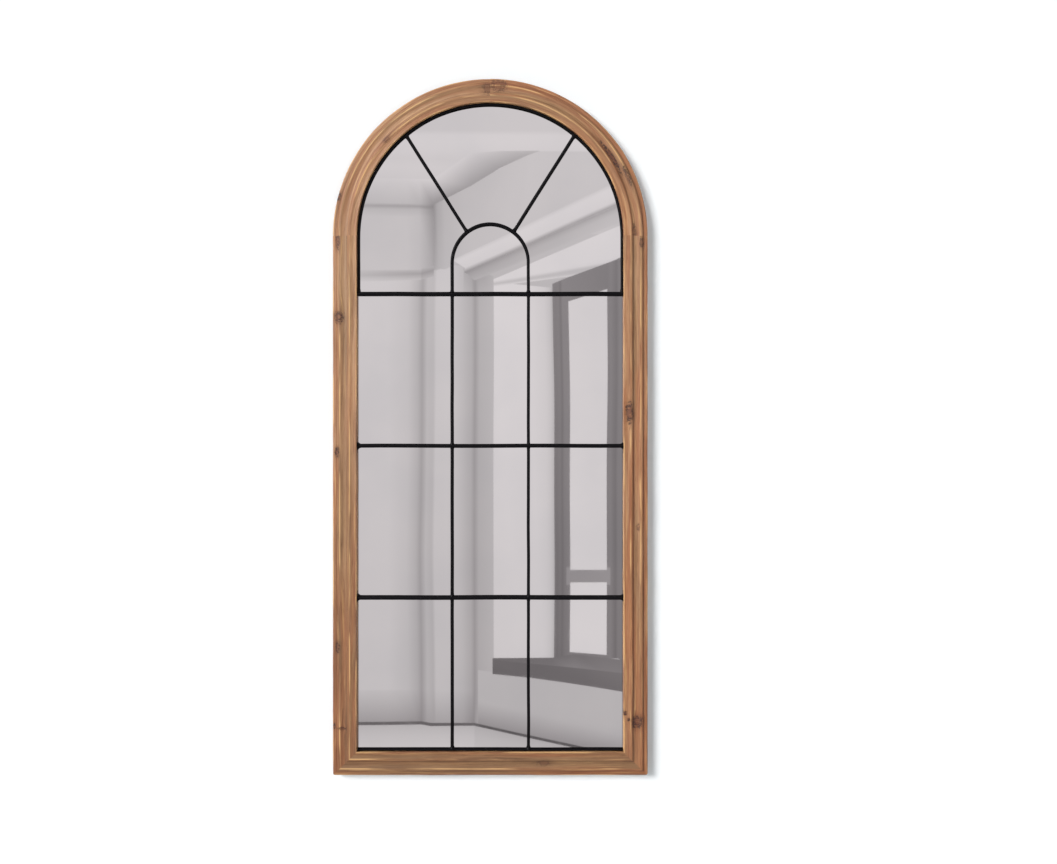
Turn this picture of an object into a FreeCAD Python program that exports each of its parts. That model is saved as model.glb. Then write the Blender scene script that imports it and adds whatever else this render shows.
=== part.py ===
import FreeCAD, Part
import math
import os
import re

import Sketcher
from FreeCAD import Placement, Rotation, Vector

# Arched window mirror: a moulded softwood frame with a round head, a silvered pane
# behind it and a welded steel grille in front of the pane.
# The front faces -Y, +X is right and +Z is up. The origin is at the middle of the
# footprint, at the height of the frame's underside.
# "across" is the distance in from the frame's outer edge, and "forward" is the
# distance in front of the frame's back plane.

SIZES = {
    # The frame as a whole
    "frame_width": 710.0,
    "spring_height": 1215.0,
    "frame_depth": 32.0,
    "face_width": 55.5,
    "corner_round": 6.0,
    # The stepped moulding: an outer, a middle and an inner band
    "outer_band_width": 10.0,
    "outer_band_depth": 21.0,
    "edge_round": 3.0,
    "middle_band_depth": 26.5,
    "middle_crest": 2.5,
    "middle_hollow": 1.3,
    "inner_band_width": 16.5,
    "inner_crest": 1.5,
    "inner_hollow": 1.0,
    "lip_round": 1.5,
    # The lip and the two rebates behind it
    "lip_thickness": 16.0,
    "lip_overlap": 9.0,
    "back_band_width": 28.0,
    "glass_thickness": 4.0,
    "glass_play": 1.5,
    "foam_thickness": 2.0,
    "board_thickness": 3.0,
    "board_play": 1.0,
    # Dowels in the five frame joints
    "dowel_diameter": 8.0,
    "dowel_length": 30.0,
    "dowel_forward": 15.0,
    "dowel_outer_across": 13.0,
    "dowel_inner_across": 32.0,
    "corner_dowel_outer": 22.0,
    "corner_dowel_inner": 35.0,
    "socket_end_play": 0.5,
    "fit_play": 0.05,
    # The steel grille
    "bar_diameter": 9.0,
    "rod_diameter": 7.0,
    "rim_rod_diameter": 5.0,
    "rod_play": 0.2,
    "bar_drop": 130.0,
    "bar_let_in": 7.5,
    "notch_play": 0.15,
    "inner_arch_radius": 86.0,
    "inner_arch_drop": 59.0,
    "spoke_angle": 32.2,
    "spoke_aim_drop": 73.5,
    "weld_foot_wall": 1.7,
    "weld_tip_wall": 0.4,
    "weld_length": 5.0,
    "weld_wrap": 2.0,
    # The tabs that hold the middle and lower crossbars behind the lip
    "tab_thickness": 1.5,
    "tab_height": 34.0,
    "tab_width": 7.5,
    "tab_nose_height": 16.5,
    "tab_nose_length": 6.8,
    "tab_nose_hollow": 0.8,
    "tab_tip_height": 8.0,
    "tab_weld_height": 2.6,
    "tab_screw_spacing": 22.0,
    "tab_screw_in": 4.0,
    "tab_screw_length": 9.0,
    "tab_screw_diameter": 2.8,
    "tab_screw_head": 5.4,
    "tab_screw_sink": 1.3,
    # Screws round the backing board
    "board_screw_across": 36.0,
    "board_screw_low": 110.0,
    "board_screw_top_gap": 95.0,
    "board_screw_reach": 200.0,
    "board_screw_length": 15.0,
    "board_screw_diameter": 3.5,
    "board_screw_head": 6.8,
    "board_screw_sink": 1.9,
    # The strap hangers and their rings
    "hanger_drop": 60.0,
    "hanger_across": 14.0,
    "strap_width": 16.0,
    "strap_length": 48.0,
    "strap_thickness": 1.4,
    "strap_end_round": 5.0,
    "ring_wire": 3.0,
    "ring_bar_play": 0.05,
    "ring_side_play": 0.5,
    "ring_corner": 2.5,
    "ring_leg": 5.5,
    "ring_butt_gap": 0.4,
    "barrel_lift": 0.35,
    "strap_screw_upper": 25.5,
    "strap_screw_lower": 40.0,
    "strap_screw_length": 16.0,
    "strap_screw_diameter": 3.5,
    "strap_screw_head": 7.0,
    "strap_screw_crown": 5.8,
    "strap_screw_rise": 2.0,
    # The rubber pads against the wall
    "pad_proud": 0.3,
    "pad_diameter": 16.0,
    "pad_face_diameter": 13.0,
    "pad_across": 14.0,
    "pad_rise": 45.0,
    # How far a cutting shape runs past the faces that it opens
    "cut_margin": 1.0,
}

# Sizes that follow from those above
DERIVED = {
    "half_width": "frame_width / 2",
    "lip_radius": "half_width - face_width",
    "rebate_across": "face_width - lip_overlap",
    "lip_back": "frame_depth - lip_thickness",
    "glass_back": "lip_back - glass_thickness",
    "board_front": "glass_back - foam_thickness",
    "board_back": "board_front - board_thickness",
    "glass_half": "half_width - rebate_across - glass_play",
    "board_half": "half_width - back_band_width - board_play",
    "lower_riser": "middle_band_depth - outer_band_depth",
    "upper_riser": "frame_depth - middle_band_depth",
    "middle_start": "outer_band_width + lower_riser + middle_crest",
    "middle_end": "face_width - inner_band_width - upper_riser",
    "inner_start": "face_width - inner_band_width + inner_crest",
    "inner_end": "face_width - lip_round",
    "bar_radius": "bar_diameter / 2",
    "rod_radius": "rod_diameter / 2",
    "rim_rod_radius": "rim_rod_diameter / 2",
    "rod_clear": "rod_radius + fit_play",
    "rim_rod_clear": "rim_rod_radius + fit_play",
    "bar_forward": "lip_back + tab_thickness + bar_radius",
    "bar_half_length": "lip_radius + bar_let_in",
    "hoop_radius": "lip_radius - rod_play - rim_rod_radius",
    "bottom_bar_rise": "face_width + rod_play + rim_rod_radius",
    "upper_bar_rise": "spring_height - bar_drop",
    "bar_pitch": "(upper_bar_rise - bottom_bar_rise) / 3",
    "inner_arch_rise": "spring_height - inner_arch_drop",
    "spoke_aim_rise": "spring_height - spoke_aim_drop",
    "spoke_offset": "spoke_aim_drop * sin(spoke_angle)",
    "spoke_reach": "spoke_aim_drop * cos(spoke_angle)"
                   " + sqrt(hoop_radius ^ 2 - spoke_offset ^ 2)",
    "inner_aim_drop": "spoke_aim_drop - inner_arch_drop",
    "inner_offset": "inner_aim_drop * sin(spoke_angle)",
    "spoke_start": "inner_aim_drop * cos(spoke_angle)"
                   " + sqrt(inner_arch_radius ^ 2 - inner_offset ^ 2)",
    "ring_half_width": "strap_width / 2 + ring_side_play + ring_corner",
    "barrel_bore": "ring_wire / 2 + ring_bar_play",
    "barrel_radius": "barrel_bore + strap_thickness",
    "hinge_behind": "barrel_radius + barrel_lift",
    "pad_height": "hinge_behind + barrel_radius + pad_proud",
    "hinge_rise": "spring_height - hanger_drop",
    "back_y": "(frame_depth - pad_height) / 2",
    "through_all": "4 * frame_depth",
}

STILE_SCREWS = 4
ARCH_SCREW_ANGLES = (22.5, 45.0, 67.5)
RAIL_SCREW_STEPS = (-1, 0, 1)
ARCH_PAD_ANGLE = 50.0
TOLERANCE = 1e-3

# Turns that lay a piece drawn along +Z in another direction. A leaning piece has its
# angle bound to the sheet, so that only the axis of LEANING is kept.
TOWARDS_FRONT = Rotation(Vector(1, 0, 0), 90)
TOWARDS_BACK = Rotation(Vector(1, 0, 0), -90)
ALONG_X = Rotation(Vector(0, 1, 0), 90)
UPRIGHT = Rotation()
LEANING = Rotation(Vector(0, 1, 0), 1)

doc = FreeCAD.newDocument("arched_window_mirror")
sheet = doc.addObject("Spreadsheet::Sheet", "Sizes")


def fill_sheet():
    """Write each size and each derived size in a row of its own, with its name."""
    rows = [(name, str(size)) for name, size in SIZES.items()]
    rows += [(name, "=" + formula) for name, formula in DERIVED.items()]
    for row, (name, content) in enumerate(rows, start=1):
        sheet.set(f"A{row}", name.replace("_", " "))
        sheet.set(f"B{row}", content)
        sheet.setAlias(f"B{row}", name)
    doc.recompute()


def cell(text):
    """Point each size name in an expression at its cell in the sheet."""
    def named(match):
        word = match.group()
        return "Sizes." + word if word in SIZES or word in DERIVED else word
    return re.sub(r"[a-z_]+", named, str(text))


def value(text):
    """The present value of an expression, for first positions in a sketch."""
    return float(sheet.evalExpression(cell(text)))


def bind(obj, **expressions):
    """Bind properties of an object to expressions on the sheet."""
    for name, text in expressions.items():
        obj.setExpression(name, cell(text))
    return obj


def put(obj, x="0", y="0", z="0", turn=Rotation()):
    """Place an object with a fixed turn and a position bound to the sheet."""
    obj.Placement = Placement(Vector(), turn)
    for axis, text in zip("xyz", (x, y, z)):
        obj.setExpression("Placement.Base." + axis, cell(text))
    return obj


def depth(forward):
    """The Y coordinate of a plane at a distance in front of the back plane."""
    return f"back_y - ({forward})"


# Primitives bound to the sheet ------------------------------------------------

def cylinder(name, radius, length, x, y, z, turn):
    solid = doc.addObject("Part::Cylinder", name)
    bind(solid, Radius=radius, Height=length)
    return put(solid, x, y, z, turn)


def cone(name, radius, end_radius, length, x, y, z, turn):
    solid = doc.addObject("Part::Cone", name)
    bind(solid, Radius1=radius, Radius2=end_radius, Height=length)
    return put(solid, x, y, z, turn)


def box(name, x, y, z, long_x, long_y, long_z):
    solid = doc.addObject("Part::Box", name)
    bind(solid, Length=long_x, Width=long_y, Height=long_z)
    return put(solid, x, y, z)


def ring(name, radius, tube_radius, y, z):
    """A full ring that stands upright, facing the front."""
    solid = doc.addObject("Part::Torus", name)
    bind(solid, Radius1=radius, Radius2=tube_radius)
    return put(solid, "0", y, z, TOWARDS_FRONT)


def group(name, members):
    """Separate solids kept together in one object."""
    compound = doc.addObject("Part::Compound", name)
    compound.Links = members
    return compound


def joined(name, members):
    fuse = doc.addObject("Part::MultiFuse", name)
    fuse.Shapes = members
    return fuse


def cut(name, base, tool):
    result = doc.addObject("Part::Cut", name)
    result.Base = base
    result.Tool = tool
    return result


# Sketches bound to the sheet --------------------------------------------------

def new_body(name):
    return doc.addObject("PartDesign::Body", name)


def new_sketch(body, name, role, x="0", y="0", z="0", turn=Rotation()):
    """A sketch on one of its body's origin planes, shifted and turned on it."""
    sketch = body.newObject("Sketcher::SketchObject", name)
    plane = next(f for f in body.Origin.OriginFeatures if f.Role == role)
    sketch.AttachmentSupport = (plane, [""])
    sketch.MapMode = "FlatFace"
    sketch.AttachmentOffset = Placement(Vector(), turn)
    for axis, text in zip("xyz", (x, y, z)):
        sketch.setExpression("AttachmentOffset.Base." + axis, cell(text))
    return sketch


def pin_point(sketch, edge, end, x, y):
    """Hold a point of an edge at sheet distances from the sketch's own origin.
    A distance of None is left to the edges that meet there."""
    for kind, text in (("DistanceX", x), ("DistanceY", y)):
        if text is None:
            continue
        if text == "0":
            axis = -2 if kind == "DistanceX" else -1
            sketch.addConstraint(Sketcher.Constraint("PointOnObject", edge, end, axis))
            continue
        start = value(text)
        number = sketch.addConstraint(Sketcher.Constraint(kind, -1, 1, edge, end, start))
        sketch.setExpression(f"Constraints[{number}]", cell(text))


def arc_between(a, b, radius, turning):
    """The arc under a half circle from a to b, and whether it runs from a to b
    anticlockwise. A "round" arc turns clockwise and a "hollow" one the other way."""
    side = 1 if turning == "hollow" else -1
    chord = b - a
    height = math.sqrt(max(radius ** 2 - (chord.Length / 2) ** 2, 0))
    centre = (a + b) / 2 + Vector(-chord.y, chord.x, 0).normalize() * (height * side)
    first, last = (a, b) if turning == "hollow" else (b, a)
    angles = [math.atan2(p.y - centre.y, p.x - centre.x) for p in (first, last)]
    circle = Part.Circle(centre, Vector(0, 0, 1), radius)
    return Part.ArcOfCircle(circle, angles[0], angles[1]), turning == "hollow"


def outline(sketch, corners):
    """A closed outline through corners given as (x, y) or (x, y, turning, radius),
    where the last two describe the arc that leaves that corner."""
    spots = [Vector(value(c[0]), value(c[1]), 0) for c in corners]
    ends = []
    for index, corner in enumerate(corners):
        a = spots[index]
        b = spots[(index + 1) % len(corners)]
        if len(corner) == 2:
            edge = sketch.addGeometry(Part.LineSegment(a, b))
            ends.append((edge, 1, 2))
            continue
        arc, forwards = arc_between(a, b, value(corner[3]), corner[2])
        edge = sketch.addGeometry(arc)
        ends.append((edge, 1, 2) if forwards else (edge, 2, 1))
    for index, corner in enumerate(corners):
        edge, leaving, _ = ends[index]
        before, _, arriving = ends[index - 1]
        sketch.addConstraint(
            Sketcher.Constraint("Coincident", before, arriving, edge, leaving))
        pin_point(sketch, edge, leaving, corner[0], corner[1])
        if len(corner) == 4:
            number = sketch.addConstraint(
                Sketcher.Constraint("Radius", edge, value(corner[3])))
            sketch.setExpression(f"Constraints[{number}]", cell(corner[3]))


def circle_at(sketch, x, y, radius):
    """A circle whose centre and radius are bound to the sheet."""
    centre = Vector(value(x), value(y), 0)
    edge = sketch.addGeometry(Part.Circle(centre, Vector(0, 0, 1), value(radius)))
    pin_point(sketch, edge, 3, x, y)
    number = sketch.addConstraint(Sketcher.Constraint("Radius", edge, value(radius)))
    sketch.setExpression(f"Constraints[{number}]", cell(radius))


def pad(body, name, sketch, length, backwards=False, both_ways=False):
    feature = body.newObject("PartDesign::Pad", name)
    feature.Profile = sketch
    feature.Reversed = backwards
    feature.SideType = "Symmetric" if both_ways else "One side"
    return bind(feature, Length=length)


def pocket(body, name, sketch, length, both_ways=False):
    """A pocket that has to take something away from the body."""
    doc.recompute()
    before = body.Shape.Volume
    feature = body.newObject("PartDesign::Pocket", name)
    feature.Profile = sketch
    feature.SideType = "Symmetric" if both_ways else "One side"
    bind(feature, Length=length)
    doc.recompute()
    if body.Shape.Volume > before - TOLERANCE:
        raise ValueError(f"{name} cuts nothing")
    return feature


# The moulded frame ------------------------------------------------------------

def hollow_radius(chord, sag):
    """The radius of a shallow hollow from its width and its depth."""
    return f"({chord}) ^ 2 / (8 * {sag}) + {sag} / 2"


# The moulding's section, drawn across and forward from the outer back corner:
# three bands that step up towards the lip, each riser a quarter round, then the
# lip and the rebates for the glass and for the board.
MOULDING = [
    ("0", "0"),
    ("0", "outer_band_depth - edge_round", "round", "edge_round"),
    ("edge_round", "outer_band_depth"),
    ("outer_band_width", "outer_band_depth", "round", "lower_riser"),
    ("outer_band_width + lower_riser", "middle_band_depth"),
    ("middle_start", "middle_band_depth", "hollow",
     hollow_radius("middle_end - middle_start", "middle_hollow")),
    ("middle_end", "middle_band_depth", "round", "upper_riser"),
    ("middle_end + upper_riser", "frame_depth"),
    ("inner_start", "frame_depth", "hollow",
     hollow_radius("inner_end - inner_start", "inner_hollow")),
    ("inner_end", "frame_depth", "round", "lip_round"),
    ("face_width", "frame_depth - lip_round"),
    ("face_width", "lip_back"),
    ("rebate_across", "lip_back"),
    ("rebate_across", "board_front"),
    ("back_band_width", "board_front"),
    ("back_band_width", "0"),
]


def section_on_the_left(body, name):
    """The section level with the body's origin, at the left edge of the frame."""
    turn = Rotation(Vector(1, 0, 0), 180)
    sketch = new_sketch(body, name, "XY_Plane", "-half_width", "back_y", "0", turn)
    outline(sketch, MOULDING)
    return sketch


def section_on_the_right(body, name):
    """The same section, turned over to the right edge of the frame."""
    turn = Rotation(Vector(0, 0, 1), 180)
    sketch = new_sketch(body, name, "XY_Plane", "half_width", "back_y", "0", turn)
    outline(sketch, MOULDING)
    return sketch


def mitre_sketch(body, name, side, keep_stile):
    """What the mitre and the rounded corner take off a stile's foot or a rail's end,
    drawn on the front plane from the frame's lower corner inwards."""
    turn = Rotation() if side < 0 else Rotation(Vector(0, 1, 0), 180)
    sketch = new_sketch(body, name, "XZ_Plane",
                        "-half_width" if side < 0 else "half_width", "0", "0", turn)
    past = "face_width + cut_margin"
    outside = "-cut_margin"
    bend = "corner_round * (1 - sqrt(2) / 2)"
    if keep_stile:
        outline(sketch, [
            ("0", "corner_round", "hollow", "corner_round"), (bend, bend), (past, past),
            (past, outside), (outside, outside), (outside, "corner_round")])
    else:
        outline(sketch, [
            ("corner_round", "0", "round", "corner_round"), (bend, bend), (past, past),
            (outside, past), (outside, outside), ("corner_round", outside)])
    return sketch


def stile(name, side):
    """A straight upright length, mitred at its foot."""
    body = new_body(name + "_length")
    section = section_on_the_left if side < 0 else section_on_the_right
    pad(body, name + "_pad", section(body, name + "_section"), "spring_height",
        backwards=side < 0)
    sketch = mitre_sketch(body, name + "_mitre_line", side, keep_stile=True)
    pocket(body, name + "_mitre", sketch, "through_all", both_ways=True)
    return body


def rail(name):
    """The straight length across the bottom, mitred at both ends."""
    body = new_body(name + "_length")
    turn = Rotation(Vector(0, 0, 1), 90)
    sketch = new_sketch(body, name + "_section", "YZ_Plane", "back_y", "0", "0", turn)
    outline(sketch, MOULDING)
    pad(body, name + "_pad", sketch, "frame_width", both_ways=True)
    line = mitre_sketch(body, name + "_mitre_line", -1, keep_stile=False)
    mitre = pocket(body, name + "_mitre", line, "through_all", both_ways=True)
    other_end = body.newObject("PartDesign::Mirrored", name + "_other_end")
    plane = next(f for f in body.Origin.OriginFeatures if f.Role == "YZ_Plane")
    other_end.Originals = [mitre]
    other_end.MirrorPlane = (plane, [""])
    body.Tip = other_end
    return body


def arch_half(name, side):
    """A quarter circle of the moulding, from the spring line up to the crown."""
    body = new_body(name + "_quarter")
    section = section_on_the_left if side < 0 else section_on_the_right
    turned = body.newObject("PartDesign::Revolution", name + "_turned")
    turned.Profile = section(body, name + "_section")
    axis = next(f for f in body.Origin.OriginFeatures if f.Role == "Y_Axis")
    turned.ReferenceAxis = (axis, [""])
    turned.Angle = 90
    turned.Reversed = side > 0
    return put(body, z="spring_height")


# Fasteners --------------------------------------------------------------------

def dowel(name, x, z, turn):
    """A glued peg with its middle on the joint, and the socket that it fits."""
    along = turn.multVec(Vector(0, 0, 1))

    def laid(label, radius, length):
        start_x = f"{x} - ({length}) / 2 * ({along.x})"
        start_z = f"{z} - ({length}) / 2 * ({along.z})"
        return cylinder(label, radius, length, start_x, depth("dowel_forward"),
                        start_z, turn)

    peg = laid(name, "dowel_diameter / 2", "dowel_length")
    socket = laid(name + "_socket", "dowel_diameter / 2 + fit_play",
                  "dowel_length + 2 * socket_end_play")
    return peg, socket


def sunk_screw(name, kind, back, x, z):
    """A countersunk screw driven forwards from a plane, its seat through the piece
    that it holds, and its pilot hole. The sizes are those whose names start with kind."""
    shank = f"{kind}_diameter / 2"
    head = f"{kind}_head / 2"
    y = depth(back)
    long = f"{kind}_length"
    parts = joined(name, [
        cone(name + "_head", head, shank, f"{kind}_sink", x, y, z, TOWARDS_FRONT),
        cylinder(name + "_shank", shank, long, x, y, z, TOWARDS_FRONT)])
    seat = joined(name + "_seat", [
        cone(name + "_sink", f"{head} + fit_play", f"{shank} + fit_play",
             f"{kind}_sink", x, y, z, TOWARDS_FRONT),
        cylinder(name + "_hole", f"{shank} + fit_play", f"{long} + socket_end_play",
                 x, y, z, TOWARDS_FRONT)])
    return parts, seat


def board_screw_spots():
    """The spots round the board where its screws go, and what takes each screw."""
    spots = []
    rise = f"(spring_height - board_screw_low - board_screw_top_gap) / {STILE_SCREWS - 1}"
    for side, piece in ((-1, "left_stile"), (1, "right_stile")):
        x = f"{side} * (half_width - board_screw_across)"
        for step in range(STILE_SCREWS):
            spots.append((piece, x, f"board_screw_low + {step} * {rise}"))
    for side, piece in ((-1, "arch_left"), (1, "arch_right")):
        for angle in ARCH_SCREW_ANGLES:
            reach = "(half_width - board_screw_across)"
            spots.append((piece, f"{side} * {reach} * cos({angle})",
                          f"spring_height + {reach} * sin({angle})"))
    for step in RAIL_SCREW_STEPS:
        spots.append(("bottom_rail", f"{step} * board_screw_reach", "board_screw_across"))
    return spots


# The grille -------------------------------------------------------------------

BAR_RISES = {
    "upper_crossbar": "upper_bar_rise",
    "middle_crossbar": "bottom_bar_rise + 2 * bar_pitch",
    "lower_crossbar": "bottom_bar_rise + bar_pitch",
    "bottom_rod": "bottom_bar_rise",
}
BAR_RADII = {bar: "rim_rod_radius" if bar == "bottom_rod" else "bar_radius"
             for bar in BAR_RISES}
UPRIGHTS = {
    "upper": ("middle_crossbar", "upper_crossbar"),
    "middle": ("lower_crossbar", "middle_crossbar"),
    "lower": ("bottom_rod", "lower_crossbar"),
}
TABBED_BARS = ("middle_crossbar", "lower_crossbar")


def crossbar(name, radius, half_length):
    return cylinder(name, radius, f"2 * ({half_length})", f"-({half_length})",
                    depth("bar_forward"), BAR_RISES[name.removesuffix("_clearance")],
                    ALONG_X)


def bent_rod(name, radius, drop, rise, rod_radius):
    """One rod bent to a half circle with two straight legs down to the upper bar."""
    body = new_body(name + "_bent")
    foot = new_sketch(body, name + "_wire", "XY_Plane", f"-{radius}", "0", f"-({drop})")
    circle_at(foot, "0", "0", rod_radius)
    path = new_sketch(body, name + "_line", "XZ_Plane")
    half, leg = value(radius), value(drop)
    left = path.addGeometry(Part.LineSegment(Vector(-half, -leg, 0), Vector(-half, 0, 0)))
    bend = path.addGeometry(
        Part.ArcOfCircle(Part.Circle(Vector(), Vector(0, 0, 1), half), 0, math.pi))
    right = path.addGeometry(Part.LineSegment(Vector(half, 0, 0), Vector(half, -leg, 0)))
    path.addConstraint(Sketcher.Constraint("Coincident", left, 2, bend, 2))
    path.addConstraint(Sketcher.Constraint("Coincident", bend, 1, right, 1))
    path.addConstraint(Sketcher.Constraint("Coincident", bend, 3, -1, 1))
    pin_point(path, left, 1, f"-{radius}", f"-({drop})")
    pin_point(path, left, 2, f"-{radius}", "0")
    pin_point(path, right, 2, radius, f"-({drop})")
    pin_point(path, right, 1, None, "0")
    pipe = body.newObject("PartDesign::AdditivePipe", name + "_pipe")
    pipe.Profile = foot
    pipe.Spine = (path, [])
    return put(body, "0", depth("bar_forward"), rise)


def weld(name, x, z, turn, lean, radius, clearances):
    """A fillet of weld on a rod of the given radius. It tapers from the piece that the
    rod stands on, and is coped in turn by the clearances of what it touches."""
    bead = cone(name + "_cone", f"{radius} + weld_foot_wall", f"{radius} + weld_tip_wall",
                "weld_length + weld_wrap", x, depth("bar_forward"), z, turn)
    if lean:
        bead.setExpression("Placement.Rotation.Angle", cell(lean))
    for number, clearance in enumerate(clearances, start=1):
        bead = cut(f"{name}_{number}", bead, clearance)
    return bead


def tab(name, side, bar):
    """A flat tab welded under a crossbar's end: its foot lies behind the lip, and
    its tapered nose shows at the wood, with a fillet of weld each side of the bar."""
    body = new_body(name + "_plate")
    turn = Rotation() if side < 0 else Rotation(Vector(0, 1, 0), 180)
    foot = "tab_width"
    tall = "tab_height / 2"
    root = "tab_nose_height / 2"
    tip = "tab_tip_height / 2"
    bow = (f"(tab_nose_length ^ 2 + ({root} - {tip}) ^ 2) / (8 * tab_nose_hollow)"
           " + tab_nose_hollow / 2")
    end = f"{foot} + tab_nose_length"
    origin_x = f"{side} * (lip_radius + tab_width)"
    flat = new_sketch(body, name + "_outline", "XZ_Plane", origin_x,
                      "0", f"-({depth('lip_back')})", turn)
    outline(flat, [
        ("0", f"-{tall}"), ("0", tall), (foot, tall), (foot, root, "hollow", bow),
        (end, tip), (end, f"-{tip}", "hollow", bow), (foot, f"-{root}"),
        (foot, f"-{tall}")])
    pad(body, name + "_pad", flat, "tab_thickness", backwards=side > 0)
    bead = new_sketch(body, name + "_bead_outline", "XZ_Plane", origin_x, "0",
                      f"-({depth('lip_back + tab_thickness')})", turn)
    outline(bead, [
        (foot, f"-{root}"), (foot, root, "hollow", bow), (end, tip),
        (end, f"-{tip}", "hollow", bow)])
    pad(body, name + "_bead", bead, "tab_weld_height", backwards=side > 0)
    return put(body, z=BAR_RISES[bar])


# The hangers ------------------------------------------------------------------

def hanger_strap(name, x, screw_seats):
    """A steel strap curled into a barrel at the top, screwed to a stile's back."""
    body = new_body(name + "_leaf")
    turn = Rotation(Vector(0, 0, 1), 90)
    leaf = new_sketch(body, name + "_side", "YZ_Plane", "0", "0", "0", turn)
    outline(leaf, [("-strap_length", "-strap_thickness"), ("0", "-strap_thickness"),
                   ("0", "0"), ("-strap_length", "0")])
    pad(body, name + "_pad", leaf, "strap_width", both_ways=True)
    barrel = new_sketch(body, name + "_curl", "YZ_Plane", "0", "0", "0", turn)
    circle_at(barrel, "0", "-hinge_behind", "barrel_radius")
    circle_at(barrel, "0", "-hinge_behind", "barrel_bore")
    curl = pad(body, name + "_barrel", barrel, "strap_width", both_ways=True)
    doc.recompute()
    ends = [f"Edge{number}" for number, edge in enumerate(curl.Shape.Edges, start=1)
            if abs(edge.CenterOfMass.z + value("strap_length")) < TOLERANCE
            and abs(edge.BoundBox.YLength - value("strap_thickness")) < TOLERANCE
            and edge.BoundBox.XLength < TOLERANCE]
    rounded = body.newObject("PartDesign::Fillet", name + "_end")
    rounded.Base = (curl, ends)
    bind(rounded, Radius="strap_end_round")
    put(body, x, "back_y", "hinge_rise")
    return cut(name, body, screw_seats)


def hanger_ring(name, x):
    """A D-ring bent from one wire, whose ends butt inside the strap's barrel.
    It is drawn hanging down from its hinge line."""
    body = new_body(name)
    wide, corner, leg = (value(s) for s in ("ring_half_width", "ring_corner", "ring_leg"))
    butt = value("ring_butt_gap / 2")
    low = -(corner + leg)
    path = new_sketch(body, name + "_line", "XZ_Plane")
    up = Vector(0, 0, 1)
    right_bar = path.addGeometry(
        Part.LineSegment(Vector(butt, 0, 0), Vector(wide - corner, 0, 0)))
    right_bend = path.addGeometry(Part.ArcOfCircle(
        Part.Circle(Vector(wide - corner, -corner, 0), up, corner), 0, math.pi / 2))
    right_leg = path.addGeometry(
        Part.LineSegment(Vector(wide, -corner, 0), Vector(wide, low, 0)))
    bow = path.addGeometry(Part.ArcOfCircle(
        Part.Circle(Vector(0, low, 0), up, wide), math.pi, 2 * math.pi))
    left_leg = path.addGeometry(
        Part.LineSegment(Vector(-wide, low, 0), Vector(-wide, -corner, 0)))
    left_bend = path.addGeometry(Part.ArcOfCircle(
        Part.Circle(Vector(corner - wide, -corner, 0), up, corner),
        math.pi / 2, math.pi))
    left_bar = path.addGeometry(
        Part.LineSegment(Vector(corner - wide, 0, 0), Vector(-butt, 0, 0)))
    joins = [(right_bar, 2, right_bend, 2), (right_bend, 1, right_leg, 1),
             (right_leg, 2, bow, 2), (bow, 1, left_leg, 1),
             (left_leg, 2, left_bend, 2), (left_bend, 1, left_bar, 1)]
    for join in joins:
        path.addConstraint(Sketcher.Constraint("Coincident", *join))
    inner = "ring_half_width - ring_corner"
    level = "ring_corner + ring_leg"
    pins = [(right_bar, 1, "ring_butt_gap / 2", "0"), (right_bar, 2, inner, "0"),
            (right_bend, 3, inner, "-ring_corner"),
            (right_leg, 1, None, "-ring_corner"),
            (right_leg, 2, "ring_half_width", f"-({level})"),
            (bow, 3, "0", f"-({level})"),
            (left_leg, 1, None, f"-({level})"),
            (left_leg, 2, "-ring_half_width", "-ring_corner"),
            (left_bend, 3, f"-({inner})", "-ring_corner"),
            (left_bar, 1, f"-({inner})", None), (left_bar, 2, "-ring_butt_gap / 2", "0")]
    for pin in pins:
        pin_point(path, *pin)
    wire = new_sketch(body, name + "_wire", "YZ_Plane", "0", "0", "ring_butt_gap / 2")
    circle_at(wire, "0", "0", "ring_wire / 2")
    pipe = body.newObject("PartDesign::AdditivePipe", name + "_pipe")
    pipe.Profile = wire
    pipe.Spine = (path, [])
    return put(body, x, "back_y + hinge_behind", "hinge_rise")


def strap_screw(name, x, z):
    """A pan-head screw through a strap, with the hole that clears it."""
    y = "back_y + strap_thickness"
    shank = "strap_screw_diameter / 2"
    screw = joined(name, [
        cone(name + "_head", "strap_screw_head / 2", "strap_screw_crown / 2",
             "strap_screw_rise", x, y, z, TOWARDS_BACK),
        cylinder(name + "_shank", shank, "strap_screw_length", x, y, z, TOWARDS_FRONT)])
    hole = cylinder(name + "_hole", f"{shank} + fit_play",
                    "strap_screw_length + socket_end_play", x, y, z, TOWARDS_FRONT)
    return screw, hole


# Panels -----------------------------------------------------------------------

def arched_panel(name, half, base, back, thickness):
    """A flat panel with the frame's outline, drawn smaller by its own play."""
    body = new_body(name)
    sketch = new_sketch(body, name + "_outline", "XZ_Plane", "0", "0",
                        f"-({depth(back)})")
    low, high, edge = value(base), value("spring_height"), value(half)
    arc = Part.ArcOfCircle(
        Part.Circle(Vector(0, high, 0), Vector(0, 0, 1), edge), 0, math.pi)
    head = sketch.addGeometry(arc)
    left = sketch.addGeometry(Part.LineSegment(Vector(-edge, high, 0), Vector(-edge, low, 0)))
    foot = sketch.addGeometry(Part.LineSegment(Vector(-edge, low, 0), Vector(edge, low, 0)))
    right = sketch.addGeometry(Part.LineSegment(Vector(edge, low, 0), Vector(edge, high, 0)))
    for join in ((head, 2, left, 1), (left, 2, foot, 1), (foot, 2, right, 1),
                 (right, 2, head, 1)):
        sketch.addConstraint(Sketcher.Constraint("Coincident", *join))
    pin_point(sketch, head, 3, "0", "spring_height")
    pin_point(sketch, left, 1, f"-{half}", "spring_height")
    pin_point(sketch, foot, 1, f"-{half}", base)
    pin_point(sketch, right, 1, half, base)
    pin_point(sketch, right, 2, None, "spring_height")
    pad(body, name + "_pad", sketch, thickness)
    return body


# Assembly ---------------------------------------------------------------------

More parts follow.
